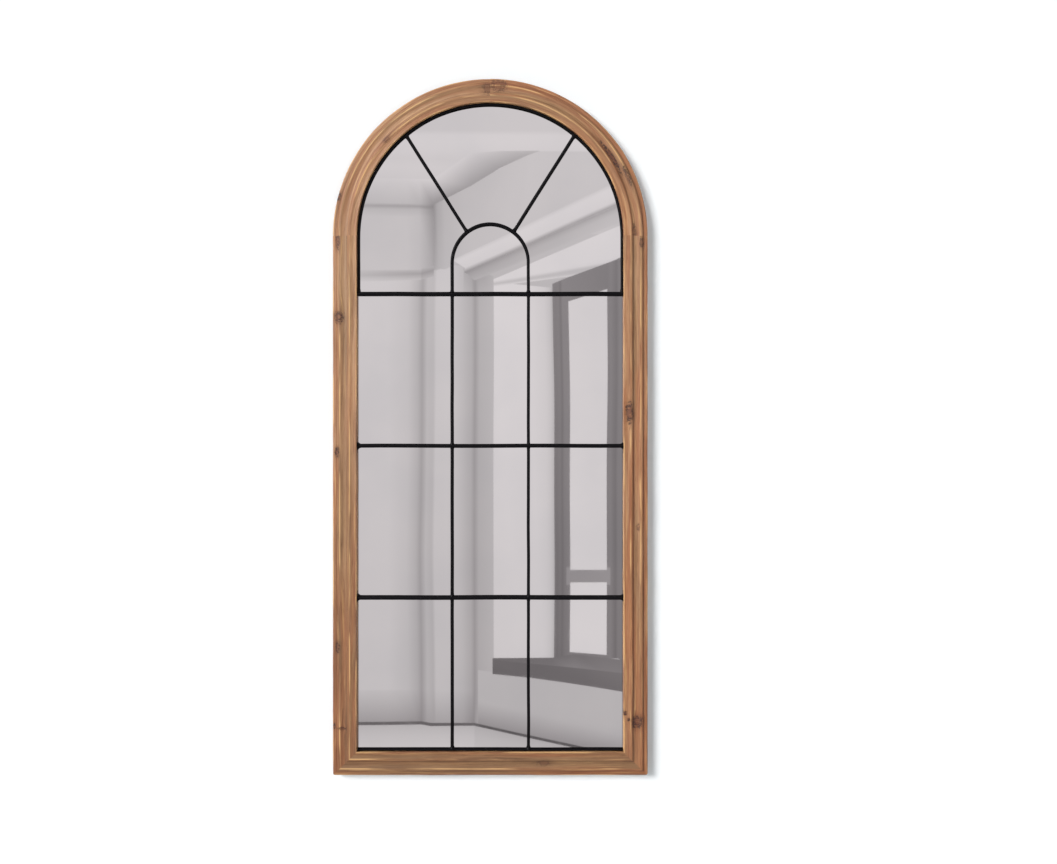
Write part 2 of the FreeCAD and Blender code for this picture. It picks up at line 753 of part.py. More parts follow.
fill_sheet()
nodes = {}
cutters = {piece: [] for piece in
           ("left_stile", "right_stile", "bottom_rail", "arch_left", "arch_right")}

# Dowels: two in each joint, at the crown, at both spring lines and in both mitres
JOINTS = {
    "crown_dowels": ("arch_left", "arch_right", ALONG_X, [
        ("0", "spring_height + half_width - dowel_outer_across"),
        ("0", "spring_height + half_width - dowel_inner_across")]),
}
for side, hand in ((-1, "left"), (1, "right")):
    JOINTS[f"{hand}_spring_dowels"] = (f"{hand}_stile", f"arch_{hand}", UPRIGHT, [
        (f"{side} * (half_width - dowel_outer_across)", "spring_height"),
        (f"{side} * (half_width - dowel_inner_across)", "spring_height")])
    JOINTS[f"{hand}_corner_dowels"] = (
        f"{hand}_stile", "bottom_rail", Rotation(Vector(0, 1, 0), 45 * side), [
            (f"{side} * (half_width - corner_dowel_outer)", "corner_dowel_outer"),
            (f"{side} * (half_width - corner_dowel_inner)", "corner_dowel_inner")])
for joint, (one, other, turn, spots) in JOINTS.items():
    pegs = []
    for number, (x, z) in enumerate(spots, start=1):
        peg, socket = dowel(f"{joint}_{number}", x, z, turn)
        pegs.append(peg)
        cutters[one].append(socket)
        cutters[other].append(socket)
    nodes[joint] = group(joint, pegs)

# The pane, its cushion and the board that closes the back
nodes["mirror_pane"] = arched_panel("mirror_pane", "glass_half",
                                    "rebate_across + glass_play", "glass_back",
                                    "glass_thickness")
nodes["foam_sheet"] = arched_panel("foam_sheet", "glass_half",
                                   "rebate_across + glass_play", "board_front",
                                   "foam_thickness")
board = arched_panel("board_blank", "board_half", "back_band_width + board_play",
                     "board_back", "board_thickness")
screws, seats = [], []
for number, (piece, x, z) in enumerate(board_screw_spots(), start=1):
    screw, seat = sunk_screw(f"board_screw_{number}", "board_screw", "board_back", x, z)
    screws.append(screw)
    seats.append(seat)
    cutters[piece].append(seat)
nodes["board_screws"] = group("board_screws", screws)
nodes["backing_board"] = cut("backing_board", board, group("board_screw_seats", seats))

# The grille's rods, and a slightly larger copy of each that copes what meets it
bar_clearances = {}
for name in BAR_RISES:
    nodes[name] = crossbar(name, BAR_RADII[name], "bar_half_length")
    bar_clearances[name] = crossbar(name + "_clearance", f"{BAR_RADII[name]} + fit_play",
                                    "bar_half_length + cut_margin")
coping = group("bar_clearances", list(bar_clearances.values()))
nodes["hoop_rod"] = cut(
    "hoop_rod",
    bent_rod("hoop", "hoop_radius", "bar_drop", "spring_height", "rim_rod_radius"), coping)
nodes["inner_arch_rod"] = cut(
    "inner_arch_rod",
    bent_rod("inner_arch", "inner_arch_radius", "bar_drop - inner_arch_drop",
             "inner_arch_rise", "rod_radius"), coping)
hoop_clearance = ring("hoop_clearance", "hoop_radius", "rim_rod_clear",
                      depth("bar_forward"), "spring_height")
inner_clearance = ring("inner_arch_clearance", "inner_arch_radius", "rod_clear",
                       depth("bar_forward"), "inner_arch_rise")
arch_clearances = group("arch_clearances", [hoop_clearance, inner_clearance])


def upright_clearance(name, x, radius):
    """A clearance for an upright or a leg, from the bottom rod to the spring line."""
    return cylinder(name, radius, "spring_height - bottom_bar_rise", x,
                    depth("bar_forward"), "bottom_bar_rise", UPRIGHT)


def spoke_length(name, radius, side):
    """A rod along a spoke's line between the two arches' centre lines."""
    x, z = along_spoke("spoke_start", side)
    rod = cylinder(name, radius, "spoke_reach - spoke_start", x, depth("bar_forward"),
                   z, LEANING)
    rod.setExpression("Placement.Rotation.Angle", cell(f"{side} * spoke_angle"))
    return rod


def along_spoke(distance, side):
    """The point of a spoke's line at a distance from where the two lines meet."""
    return (f"{side} * ({distance}) * sin(spoke_angle)",
            f"spoke_aim_rise + ({distance}) * cos(spoke_angle)")


beads = []
for side, hand in ((-1, "left"), (1, "right")):
    spoke = spoke_length(f"{hand}_spoke_length", "rod_radius", side)
    nodes[f"{hand}_spoke"] = cut(f"{hand}_spoke", spoke, arch_clearances)
    spoke_clearance = spoke_length(f"{hand}_spoke_clearance", "rod_clear", side)

    for part, (low, high) in UPRIGHTS.items():
        rise = f"({BAR_RISES[high]}) - ({BAR_RISES[low]})"
        name = f"{hand}_upright_{part}"
        blank = cylinder(name + "_length", "rod_radius", rise,
                         f"{side} * inner_arch_radius", depth("bar_forward"),
                         BAR_RISES[low], UPRIGHT)
        nodes[name] = cut(name, blank, coping)

    # Weld fillets: at the foot of the upright, of the inner arch and of the hoop,
    # and at both ends of the spoke
    inner_x = f"{side} * inner_arch_radius"
    hoop_x = f"{side} * hoop_radius"
    upright = upright_clearance(f"{hand}_upright_clearance", inner_x, "rod_clear")
    leg = upright_clearance(f"{hand}_leg_clearance", hoop_x, "rim_rod_clear")
    lip_guard = box(f"{hand}_lip_guard",
                    "lip_radius - rod_play" if side > 0 else "-half_width",
                    depth("frame_depth"), "bottom_bar_rise",
                    "half_width - lip_radius + rod_play", "frame_depth", "spring_height")
    for spot, x, bar, radius, touching in (
            ("foot", inner_x, "bottom_rod", "rod_radius", [upright]),
            ("inner", inner_x, "upper_crossbar", "rod_radius", [upright]),
            ("hoop", hoop_x, "upper_crossbar", "rim_rod_radius", [leg, lip_guard])):
        beads.append(weld(f"{hand}_{spot}_bead", x,
                          f"{BAR_RISES[bar]} + {BAR_RADII[bar]} - weld_wrap", UPRIGHT,
                          None, radius, touching + [bar_clearances[bar]]))
    for spot, distance, lean, arch in (
            ("low", "spoke_start + rod_radius - weld_wrap",
             f"{side} * spoke_angle", inner_clearance),
            ("top", "spoke_reach - rim_rod_radius + weld_wrap",
             f"180 + {side} * spoke_angle", hoop_clearance)):
        x, z = along_spoke(distance, side)
        beads.append(weld(f"{hand}_spoke_{spot}_bead", x, z, LEANING, lean,
                          "rod_radius", [spoke_clearance, arch]))
nodes["weld_beads"] = group("weld_beads", beads)

# Tabs under the ends of two crossbars, their screws, and the notches in the lip
tabs, tab_screws = [], []
for side, hand in ((-1, "left"), (1, "right")):
    wood = f"{hand}_stile"
    for bar, rise in BAR_RISES.items():
        low_x = ("lip_radius - cut_margin" if side > 0
                 else "-(half_width - rebate_across + cut_margin)")
        wide = "lip_overlap + 2 * cut_margin"
        tall = f"2 * {BAR_RADII[bar]} + 2 * notch_play"
        deep = f"bar_forward + {BAR_RADII[bar]} + notch_play - lip_back"
        cutters[wood].append(box(
            f"{hand}_{bar}_notch", low_x, depth(f"lip_back + {deep}"),
            f"{rise} - ({tall}) / 2", wide, deep, tall))
    for bar in TABBED_BARS:
        rise = BAR_RISES[bar]
        name = f"{hand}_{bar}_tab"
        cutters[wood].append(box(
            name + "_recess", low_x, depth("lip_back + tab_thickness + notch_play"),
            f"{rise} - tab_height / 2 - notch_play", wide, "tab_thickness + notch_play",
            "tab_height + 2 * notch_play"))
        tab_seats = []
        for number, up in enumerate((-1, 1), start=1):
            screw, seat = sunk_screw(
                f"{name}_screw_{number}", "tab_screw", "lip_back",
                f"{side} * (lip_radius + tab_screw_in)",
                f"{rise} + {up} * tab_screw_spacing / 2")
            tab_screws.append(screw)
            tab_seats.append(seat)
            cutters[wood].append(seat)
        tabs.append(cut(name, tab(name, side, bar),
                        joined(name + "_cuts", tab_seats + [bar_clearances[bar]])))
nodes["grille_tabs"] = group("grille_tabs", tabs)
nodes["tab_screws"] = group("tab_screws", tab_screws)

# Hangers on the backs of the stiles
hanger_screws = []
for side, hand in ((-1, "left"), (1, "right")):
    x = f"{side} * (half_width - hanger_across)"
    holes = []
    for number, drop in enumerate(("strap_screw_upper", "strap_screw_lower"), start=1):
        screw, hole = strap_screw(f"{hand}_strap_screw_{number}", x, f"hinge_rise - {drop}")
        hanger_screws.append(screw)
        holes.append(hole)
        cutters[f"{hand}_stile"].append(hole)
    strap = f"{hand}_hanger_strap"
    nodes[strap] = hanger_strap(strap, x, group(strap + "_holes", holes))
    nodes[f"{hand}_hanger_ring"] = hanger_ring(f"{hand}_hanger_ring", x)
nodes["hanger_screws"] = group("hanger_screws", hanger_screws)

# Rubber pads: two at the foot of the stiles and two on the arch
pads = []
for side in (-1, 1):
    reach = "(half_width - pad_across)"
    for x, z in ((reach, "pad_rise"),
                 (f"{reach} * cos({ARCH_PAD_ANGLE})",
                  f"spring_height + {reach} * sin({ARCH_PAD_ANGLE})")):
        pads.append(cone(f"wall_pad_{len(pads) + 1}", "pad_diameter / 2",
                         "pad_face_diameter / 2", "pad_height", f"{side} * {x}",
                         "back_y", z, TOWARDS_BACK))
nodes["wall_pads"] = group("wall_pads", pads)

# The five lengths of moulding, with their sockets, notches and pilot holes
blanks = {
    "left_stile": stile("left_stile", -1),
    "right_stile": stile("right_stile", 1),
    "bottom_rail": rail("bottom_rail"),
    "arch_left": arch_half("arch_left", -1),
    "arch_right": arch_half("arch_right", 1),
}
for name, blank in blanks.items():
    nodes[name] = cut(name, blank, joined(name + "_joinery", cutters[name]))

doc.recompute()

failed = [o.Name for o in doc.Objects if {"Invalid", "Error"} & set(o.State)]
if failed:
    raise ValueError("features that failed: " + ", ".join(failed))
for name, node in nodes.items():
    if node.Shape.isNull() or not node.Shape.isValid() or not node.Shape.Solids:
        raise ValueError(f"{name} has no valid solid")

os.makedirs("parts", exist_ok=True)
for name, node in sorted(nodes.items()):
    node.Label = name
    node.Shape.exportStep(f"parts/{name}.step")
    print(f"{name}: {len(node.Shape.Solids)} solids, {node.Shape.Volume / 1000:.1f} cm3")
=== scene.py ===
import math

import bmesh
import bpy
import numpy as np
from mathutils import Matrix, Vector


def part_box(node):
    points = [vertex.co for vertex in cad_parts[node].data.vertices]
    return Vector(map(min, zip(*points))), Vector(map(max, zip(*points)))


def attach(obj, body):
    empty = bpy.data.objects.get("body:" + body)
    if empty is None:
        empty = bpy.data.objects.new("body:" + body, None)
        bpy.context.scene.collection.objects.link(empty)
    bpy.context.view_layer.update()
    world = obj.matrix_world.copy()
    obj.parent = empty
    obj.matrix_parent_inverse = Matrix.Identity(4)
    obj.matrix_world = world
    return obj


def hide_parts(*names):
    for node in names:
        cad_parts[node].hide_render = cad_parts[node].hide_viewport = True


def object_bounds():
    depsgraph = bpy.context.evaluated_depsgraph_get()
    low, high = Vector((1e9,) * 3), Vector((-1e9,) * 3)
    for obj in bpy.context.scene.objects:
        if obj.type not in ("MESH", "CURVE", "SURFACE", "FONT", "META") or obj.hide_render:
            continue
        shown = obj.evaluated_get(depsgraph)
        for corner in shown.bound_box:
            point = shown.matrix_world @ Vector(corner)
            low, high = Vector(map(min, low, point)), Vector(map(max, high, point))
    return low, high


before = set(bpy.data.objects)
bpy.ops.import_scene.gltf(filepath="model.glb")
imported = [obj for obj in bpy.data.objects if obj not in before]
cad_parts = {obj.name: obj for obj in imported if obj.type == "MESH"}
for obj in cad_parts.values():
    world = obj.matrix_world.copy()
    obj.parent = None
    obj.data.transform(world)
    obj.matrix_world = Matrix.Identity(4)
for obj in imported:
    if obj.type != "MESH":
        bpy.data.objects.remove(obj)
cad_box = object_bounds()


# The moulded frame ------------------------------------------------------------
# Five lengths of brushed, stained and waxed softwood with a stepped moulding: two
# stiles and a bottom rail mitred at the foot, and two quarter circles butted to the
# stiles and to each other at the crown. They are glued and dowelled.

HALF_WIDTH = cad_box[1].x
SPRING_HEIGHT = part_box("left_stile")[1].z
WOOD_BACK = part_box("left_stile")[1].y
FACE_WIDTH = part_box("bottom_rail")[1].z
CORNER_ROUND = 0.006
EDGE_EASE = 0.0006

OUTER_BAND = (0.010, 0.021)      # how far across it ends, and how far forward it lies
MIDDLE_BAND = (0.0335, 0.0265)
INNER_BAND = (0.054, 0.032)
RISER = 0.0055
EDGE_ROUND, LIP_ROUND = 0.003, 0.0015
MIDDLE_CREST, MIDDLE_HOLLOW = 0.0025, 0.0013
INNER_CREST, INNER_HOLLOW = 0.0015, 0.0010
LIP_BACK, BOARD_SEAT = 0.016, 0.010
GLASS_SEAT_ACROSS, BOARD_SEAT_ACROSS = 0.0465, 0.028
QUARTER_SAG = 1 - math.sqrt(0.5)


def stroke(start, end, sag, count):
    """Points of a straight line or arc from start up to end, without end. The arc
    swells to the left by sag at its middle: its radius is (width^2 / 4 + sag^2) over
    twice the sag, and its points turn evenly about its centre."""
    start, end = np.array(start), np.array(end)
    share = np.linspace(0, 1, count, endpoint=False)[:, None]
    if sag == 0:
        return start + (end - start) * share
    width = np.hypot(*(end - start))
    ahead = (end - start) / width
    left = np.array([-ahead[1], ahead[0]])
    radius = (width ** 2 / 4 + sag ** 2) / (2 * sag)
    centre = (start + end) / 2 + left * (sag - radius)
    turn = math.asin(width / 2 / radius) * (1 - 2 * share)
    return centre + radius * (left * np.cos(turn) - ahead * np.sin(turn))


def moulding_section():
    """The section's outline, across from the outer edge and forward from the back:
    a closed chain of strokes, clockwise from the outer back corner."""
    riser_sag = RISER * QUARTER_SAG
    edge_sag = EDGE_ROUND * QUARTER_SAG
    lip_sag = LIP_ROUND * QUARTER_SAG
    ease_sag = EDGE_EASE * QUARTER_SAG
    corners = [
        ((0, EDGE_EASE), 0, 12),
        ((0, OUTER_BAND[1] - EDGE_ROUND), edge_sag, 6),
        ((EDGE_ROUND, OUTER_BAND[1]), 0, 7),
        ((OUTER_BAND[0], OUTER_BAND[1]), riser_sag, 9),
        ((OUTER_BAND[0] + RISER, MIDDLE_BAND[1]), 0, 3),
        ((OUTER_BAND[0] + RISER + MIDDLE_CREST, MIDDLE_BAND[1]), -MIDDLE_HOLLOW, 14),
        (MIDDLE_BAND, riser_sag, 9),
        ((MIDDLE_BAND[0] + RISER, INNER_BAND[1]), 0, 2),
        ((MIDDLE_BAND[0] + RISER + INNER_CREST, INNER_BAND[1]), -INNER_HOLLOW, 9),
        (INNER_BAND, lip_sag, 6),
        ((FACE_WIDTH, INNER_BAND[1] - LIP_ROUND), 0, 9),
        ((FACE_WIDTH, LIP_BACK), 0, 3),
        ((GLASS_SEAT_ACROSS, LIP_BACK), 0, 3),
        ((GLASS_SEAT_ACROSS, BOARD_SEAT), 0, 4),
        ((BOARD_SEAT_ACROSS, BOARD_SEAT), 0, 4),
        ((BOARD_SEAT_ACROSS, EDGE_EASE), ease_sag, 2),
        ((BOARD_SEAT_ACROSS - EDGE_EASE, 0), 0, 8),
        ((EDGE_EASE, 0), ease_sag, 2),
    ]
    ends = [corner[0] for corner in corners[1:] + corners[:1]]
    return np.vstack([stroke(start, end, sag, count)
                      for (start, sag, count), end in zip(corners, ends)])


def ripple(along, around, seed, longest, widest):
    """Slow unevenness, mostly between -1 and 1: a fifth of the sum of twelve sine waves
    whose lengths run from the longest and widest down to a fifth of them."""
    chance = np.random.default_rng(seed)
    total = np.zeros(np.broadcast(along, around).shape)
    for _ in range(12):
        length, width = longest * chance.uniform(0.2, 1), widest * chance.uniform(0.2, 1)
        total += np.sin(2 * np.pi * (along / length + around / width * chance.choice([-1, 1])
                                     + chance.random()))
    return total / 5


def new_object(name, data):
    body = bpy.data.objects.new(name, data)
    bpy.context.scene.collection.objects.link(body)
    return body


def quad_grid(name, grids, attributes=None, crease=40):
    """A mesh of quads over one or more grids of points (rows, columns, 3). The columns
    of each close into a ring, and its first and last rows are capped with one face."""
    loops, starts, used, filled = [], [], 0, 0
    for points in grids:
        rows, columns = points.shape[:2]
        index = used + np.arange(rows * columns).reshape(rows, columns)
        ahead = np.roll(index, -1, axis=1)
        quads = np.stack([index[:-1], ahead[:-1], ahead[1:], index[1:]], axis=-1)
        loops += [quads.ravel(), index[0, ::-1], index[-1]]
        starts += [filled + np.arange(quads.size // 4) * 4,
                   filled + quads.size + np.array([0, columns])]
        used, filled = used + index.size, filled + quads.size + 2 * columns
    points = np.concatenate([points.reshape(-1, 3) for points in grids])
    loops, starts = np.concatenate(loops), np.concatenate(starts)
    mesh = bpy.data.meshes.new(name)
    mesh.vertices.add(len(points))
    mesh.vertices.foreach_set("co", points.astype(np.float32).ravel())
    mesh.loops.add(len(loops))
    mesh.loops.foreach_set("vertex_index", loops.astype(np.int32))
    mesh.polygons.add(len(starts))
    mesh.polygons.foreach_set("loop_start", starts.astype(np.int32))
    mesh.update(calc_edges=True)
    for label, values in (attributes or {}).items():
        kind, field = ("FLOAT_VECTOR", "vector") if values.ndim == 3 else ("FLOAT", "value")
        layer = mesh.attributes.new(label, kind, "POINT")
        layer.data.foreach_set(field, values.astype(np.float32).ravel())
    shell = bmesh.new()
    shell.from_mesh(mesh)
    bmesh.ops.recalc_face_normals(shell, faces=shell.faces)
    shell.to_mesh(mesh)
    shell.free()
    mesh.shade_smooth()
    mesh.set_sharp_from_angle(angle=math.radians(crease))
    return new_object(name, mesh)


# Knots of each length: along it, across it, half its length, half its width, in
# metres, and how dark it is. A stile or rail is measured from its lower or left end,
# and a quarter circle from the spring line along its middle.
KNOTS = {
    "left_stile": [
        (1.204, 0.012, 0.016, 0.0035, 0.8), (1.033, 0.0145, 0.010, 0.0085, 0.8),
        (0.729, 0.010, 0.008, 0.004, 1.0), (0.290, 0.012, 0.009, 0.004, 0.8),
        (0.107, 0.022, 0.002, 0.007, 1.0), (0.112, 0.004, 0.005, 0.002, 1.0)],
    "right_stile": [
        (0.817, 0.042, 0.016, 0.0075, 0.85), (1.200, 0.014, 0.009, 0.004, 0.6),
        (0.122, 0.025, 0.011, 0.010, 0.8), (0.128, 0.0437, 0.003, 0.0025, 1.0),
        (0.143, 0.052, 0.004, 0.003, 1.0), (0.560, 0.022, 0.006, 0.003, 0.5)],
    "bottom_rail": [(0.475, 0.030, 0.012, 0.005, 0.4)],
    "arch_left": [
        (0.084, 0.002, 0.006, 0.0035, 1.0), (0.245, 0.037, 0.008, 0.005, 0.4),
        (0.508, 0.024, 0.010, 0.011, 0.5)],
    "arch_right": [
        (0.188, 0.0285, 0.030, 0.0035, 1.0), (0.135, 0.0175, 0.016, 0.0035, 0.8),
        (0.497, 0.016, 0.014, 0.012, 0.5), (0.010, 0.031, 0.012, 0.004, 0.5)],
}
GRAIN_LENGTHS_APART = 3.7
CLEAR_OF_KNOTS = 9.0
KNOT_PUSH, PUSH_LENGTHS, PUSH_WIDTH = 0.9, 3, 1.4

# How each length's colour runs from its start to its end: how warm, how pale and how dark it is.
# The stiles grow darker towards their feet, and the rail is dark all along.
STAINING = {
    "left_stile": ((0.55, 0.48), (0.05, 0.52), (0.90, 0.08)),
    "right_stile": ((0.85, 0.75), (0.20, 0.45), (0.42, 0.0)),
    "bottom_rail": ((0.40, 0.40), (0.05, 0.05), (0.85, 0.80)),
    "arch_left": ((0.52, 0.55), (0.54, 0.44), (0.16, 0.22)),
    "arch_right": ((0.70, 0.60), (0.34, 0.36), (0.26, 0.24)),
}


def grain_and_knots(name, number, along, across, forward):
    """Where each point lies in its length's grain, its distance from the nearest knot,
    where 1 is the knot's rim, and how dark that knot is. Beside a knot the grain is
    pushed aside by a tanh of how far across it is, over a bell curve along it."""
    nearest = np.full(along.shape, CLEAR_OF_KNOTS)
    darkness = np.zeros(along.shape)
    pushed = across.copy()
    for spot, place, half_length, half_width, dark in KNOTS[name]:
        distance = np.hypot((along - spot) / half_length, (across - place) / half_width)
        aside = (across - place) / half_width
        wide = np.hypot((along - spot) / (PUSH_LENGTHS * half_length), aside)
        pushed -= KNOT_PUSH * half_width * np.tanh(aside) * np.exp(-(wide / PUSH_WIDTH) ** 2)
        darkness = np.where(distance < nearest, dark, darkness)
        nearest = np.minimum(nearest, distance)
    place = np.stack([along + GRAIN_LENGTHS_APART * number, pushed, forward], axis=-1)
    return place, nearest, darkness


CREST_WIDTH, FOOT_WIDTH = 0.0021, 0.0018
CREST_SHARE, CREST_PAST = 0.4, 0.0005


def exposure(across, forward):
    """How worn an edge is: a bell curve over each crest, 4 mm wide in all, which also paints a
    highlight along the crest, and less than nothing at the foot of each riser, which paints shade
    there. The back of the section has none."""
    crests = [EDGE_ROUND * CREST_SHARE, OUTER_BAND[0] + RISER + CREST_SHARE * MIDDLE_CREST,
              MIDDLE_BAND[0] + RISER + CREST_SHARE * INNER_CREST, INNER_BAND[0] + CREST_PAST]
    feet = [OUTER_BAND[0] - CREST_PAST, MIDDLE_BAND[0] - CREST_PAST]
    rubbed_and_painted_light = sum(np.exp(-((across - crest) / CREST_WIDTH) ** 2) for crest in crests)
    painted_foot_shade = sum(np.exp(-((across - foot) / FOOT_WIDTH) ** 2) for foot in feet)
    return (rubbed_and_painted_light - painted_foot_shade) * (forward > BOARD_SEAT)


# Waves along and around a length, and how high they and the wear are
SLOW_WAVE, QUICK_WAVE, WEAR_WAVE = (0.22, 0.03), (0.035, 0.006), (0.3, 1)
SLOW_HEIGHT, QUICK_HEIGHT, WEAR_DEPTH = 0.00014, 0.00005, 0.00030


def moulded_length(name, number, rows, place):
    """One length: the section carried along it. place gives how far along the points
    are and their x and z, from their share of the length and how far across they are.
    Each point is lifted square to the section by slow and quick ripples less the wear."""
    section = moulding_section()
    around = np.cumsum(np.hypot(*(section - np.roll(section, 1, axis=0)).T))
    outwards = np.roll(section, 1, axis=0) - np.roll(section, -1, axis=0)
    outwards = outwards[:, ::-1] * [1, -1] / np.hypot(*outwards.T)[:, None]
    share = np.linspace(0, 1, rows)[:, None]
    along, _, _ = place(share, section[None, :, 0])
    # Wear on the crests, which is also a painted highlight, and painted shade at the feet of the
    # risers
    rubbed_and_painted_light = exposure(section[:, 0], section[:, 1])[None]
    slow = ripple(along, around, number + 20, *SLOW_WAVE)
    quick = ripple(along, around, number + 40, *QUICK_WAVE)
    worn = np.maximum(rubbed_and_painted_light, 0) * (1 + ripple(along, 0 * around, number + 60, *WEAR_WAVE))
    front = (section[:, 1] > BOARD_SEAT)[None]
    lift = (SLOW_HEIGHT * slow + QUICK_HEIGHT * quick - WEAR_DEPTH * worn) * front
    across = section[None, :, 0] + lift * outwards[None, :, 0]
    forward = section[None, :, 1] + lift * outwards[None, :, 1]
    along, x, z = place(share, across)
    grain, knot, dark = grain_and_knots(name, number, along, across, forward)
    x, z, y = np.broadcast_arrays(x, z, WOOD_BACK - forward)
    warmth, pale, deep = (first + (last - first) * share for first, last in STAINING[name])
    fields = {"knot": knot, "knot_dark": dark, "rubbed_and_painted_light": rubbed_and_painted_light, "warmth": warmth,
              "pale": pale, "deep": deep, "across": section[None, :, 0]}
    fields = {label: np.broadcast_to(field, knot.shape) for label, field in fields.items()}
    piece = quad_grid(name + "_moulding", [np.stack([x, y, z], axis=-1)],
                      {"grain": grain, **fields}, crease=50)
    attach(piece, "frame")
    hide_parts(name)
    return piece


CORNER_BEND = CORNER_ROUND * QUARTER_SAG
ROW_BUNCHING = 0.01
STILE_ROWS, RAIL_ROWS, ARCH_ROWS = 460, 300, 260


def rounded_in(across, height):
    """How far in the edge lies at a height near the rounded lower corner: the circle's
    own distance there, and the moulding's elsewhere."""
    below = np.clip(CORNER_ROUND - height, 0, CORNER_ROUND)
    return np.maximum(across, CORNER_ROUND - np.sqrt(CORNER_ROUND ** 2 - below ** 2))


def stile_place(side):
    """A stile runs up from the mitre, which starts as high as it is far across. Its
    rows stand a little closer at the foot."""
    def place(share, across):
        foot = np.maximum(across, CORNER_BEND)
        height = foot + (SPRING_HEIGHT - foot) * (
            share * (1 - ROW_BUNCHING) + ROW_BUNCHING * share ** 4)
        return height, side * (HALF_WIDTH - rounded_in(across, height)), height
    return place


def rail_place(share, across):
    """The rail runs from mitre to mitre, each as far in as it is high."""
    end = np.maximum(across, CORNER_BEND)
    x = (HALF_WIDTH - end) * (2 * share - 1)
    return x + HALF_WIDTH, x, rounded_in(across, HALF_WIDTH - np.abs(x))


def arch_place(side):
    """A quarter circle about the middle of the spring line."""
    def place(share, across):
        angle = share * math.pi / 2
        reach = HALF_WIDTH - across
        along = angle * (HALF_WIDTH - FACE_WIDTH / 2) + 0 * across
        return along, side * reach * np.cos(angle), SPRING_HEIGHT + reach * np.sin(angle)
    return place


mouldings = [
    moulded_length("left_stile", 0, STILE_ROWS, stile_place(-1)),
    moulded_length("right_stile", 1, STILE_ROWS, stile_place(1)),
    moulded_length("bottom_rail", 2, RAIL_ROWS, rail_place),
    moulded_length("arch_left", 3, ARCH_ROWS, arch_place(-1)),
    moulded_length("arch_right", 4, ARCH_ROWS, arch_place(1)),
]


class Wire:
    """A node's output as a value in an expression: each operator adds a Math node."""

    def __init__(self, nodes, socket):
        self.nodes = nodes
        self.socket = socket

    def math(self, operation, *values):
        inputs = dict(enumerate(values))
        return self.nodes.add("ShaderNodeMath", {"operation": operation}, inputs)

    def __add__(self, other):
        return self.math("ADD", self, other)

    __radd__ = __add__

    def __mul__(self, other):
        return self.math("MULTIPLY", self, other)

    def __sub__(self, other):
        return self.math("SUBTRACT", self, other)

    def __pow__(self, other):
        return self.math("POWER", self, other)

    def rise(self, low, high):
        """0 below low and 1 above high, with a smooth step between them; it falls
        where low is the greater."""
        return self.nodes.add("ShaderNodeMapRange", {"interpolation_type": "SMOOTHSTEP"}, {
            "Value": self, "From Min": low, "From Max": high})


class Nodes:
    """The nodes of one material, lamp or world."""

    def __init__(self, tree):
        self.tree = tree
        tree.nodes.clear()

    def add(self, kind, settings=None, inputs=None, output=0):
        """A node of a type, with its settings first and then the values or wires of
        its sockets, by name or number."""
        node = self.tree.nodes.new(kind)
        for name, setting in (settings or {}).items():
            setattr(node, name, setting)
        for name, value in (inputs or {}).items():
            socket = node.inputs[name]
            if isinstance(value, Wire):
                self.tree.links.new(value.socket, socket)
            elif isinstance(value, tuple) and socket.type == "RGBA":
                socket.default_value = (*value, 1)
            else:
                socket.default_value = value
        return Wire(self, node.outputs[output]) if node.outputs else None

    def mix(self, factor, first, second, blend="MIX"):
        """One colour turned into another by a factor."""
        return self.add("ShaderNodeMix", {"data_type": "RGBA", "blend_type": blend},
                        {0: factor, 6: first, 7: second}, output=2)

    def stretched(self, place, scale):
        return self.add("ShaderNodeVectorMath", {"operation": "MULTIPLY"},
                        {0: place, 1: scale})

    def noise(self, place, scale, detail=2.0, rough=0.5, distort=0.0):
        """Noise that reads a place stretched by one scale for each direction."""
        return self.add("ShaderNodeTexNoise", None, {
            "Vector": self.stretched(place, scale), "Scale": 1.0, "Detail": detail,
            "Roughness": rough, "Distortion": distort})

    def speckle(self, scale, detail):
        """Noise of one scale every way, in the object's own space."""
        return self.noise(self.place(), (scale, scale, scale), detail)

    def output(self, surface, kind="Material"):
        self.add(f"ShaderNodeOutput{kind}", None, {"Surface": surface})

    def place(self):
        """Where a point lies in the object, in metres."""
        return self.add("ShaderNodeTexCoord", output="Object")

    def attribute(self, name, output="Fac"):
        return self.add("ShaderNodeAttribute", {"attribute_name": name}, None, output)

    def bump(self, height, distance, strength=1.0):
        return self.add("ShaderNodeBump", None, {
            "Height": height, "Distance": distance, "Strength": strength})

    def surface(self, **inputs):
        """The Principled surface and the output; an input's name has its capitals and
        spaces restored."""
        named = {name.replace("_", " ").title().replace("Ior", "IOR"): value
                 for name, value in inputs.items()}
        self.output(self.add("ShaderNodeBsdfPrincipled", None, named))


def new_material(name):
    material = bpy.data.materials.new(name)
    material.use_nodes = True
    return material, Nodes(material.node_tree)


def paint(piece, material):
    piece.data.materials.clear()
    piece.data.materials.append(material)


STAIN_COOL, STAIN_WARM = (0.335, 0.187, 0.086), (0.395, 0.158, 0.064)
# The gold marks streaks and also paints a highlight on the crests; the dark stain marks grain and
# knots and also paints shade in the feet of the risers.
STAIN_PALE, GOLD_STAIN_AND_HIGHLIGHT, DARK_STAIN_AND_SHADE = (0.53, 0.31, 0.164), (0.74, 0.44, 0.185), (0.44, 0.34, 0.27)
OUTER_FADE = (0.0135, 0.0105)
MIDDLE_FADE_IN, MIDDLE_FADE_OUT = (0.0140, 0.0175), (0.0350, 0.0320)
KNOT_HEART, KNOT_RIM = (0.120, 0.036, 0.018), (0.030, 0.010, 0.006)


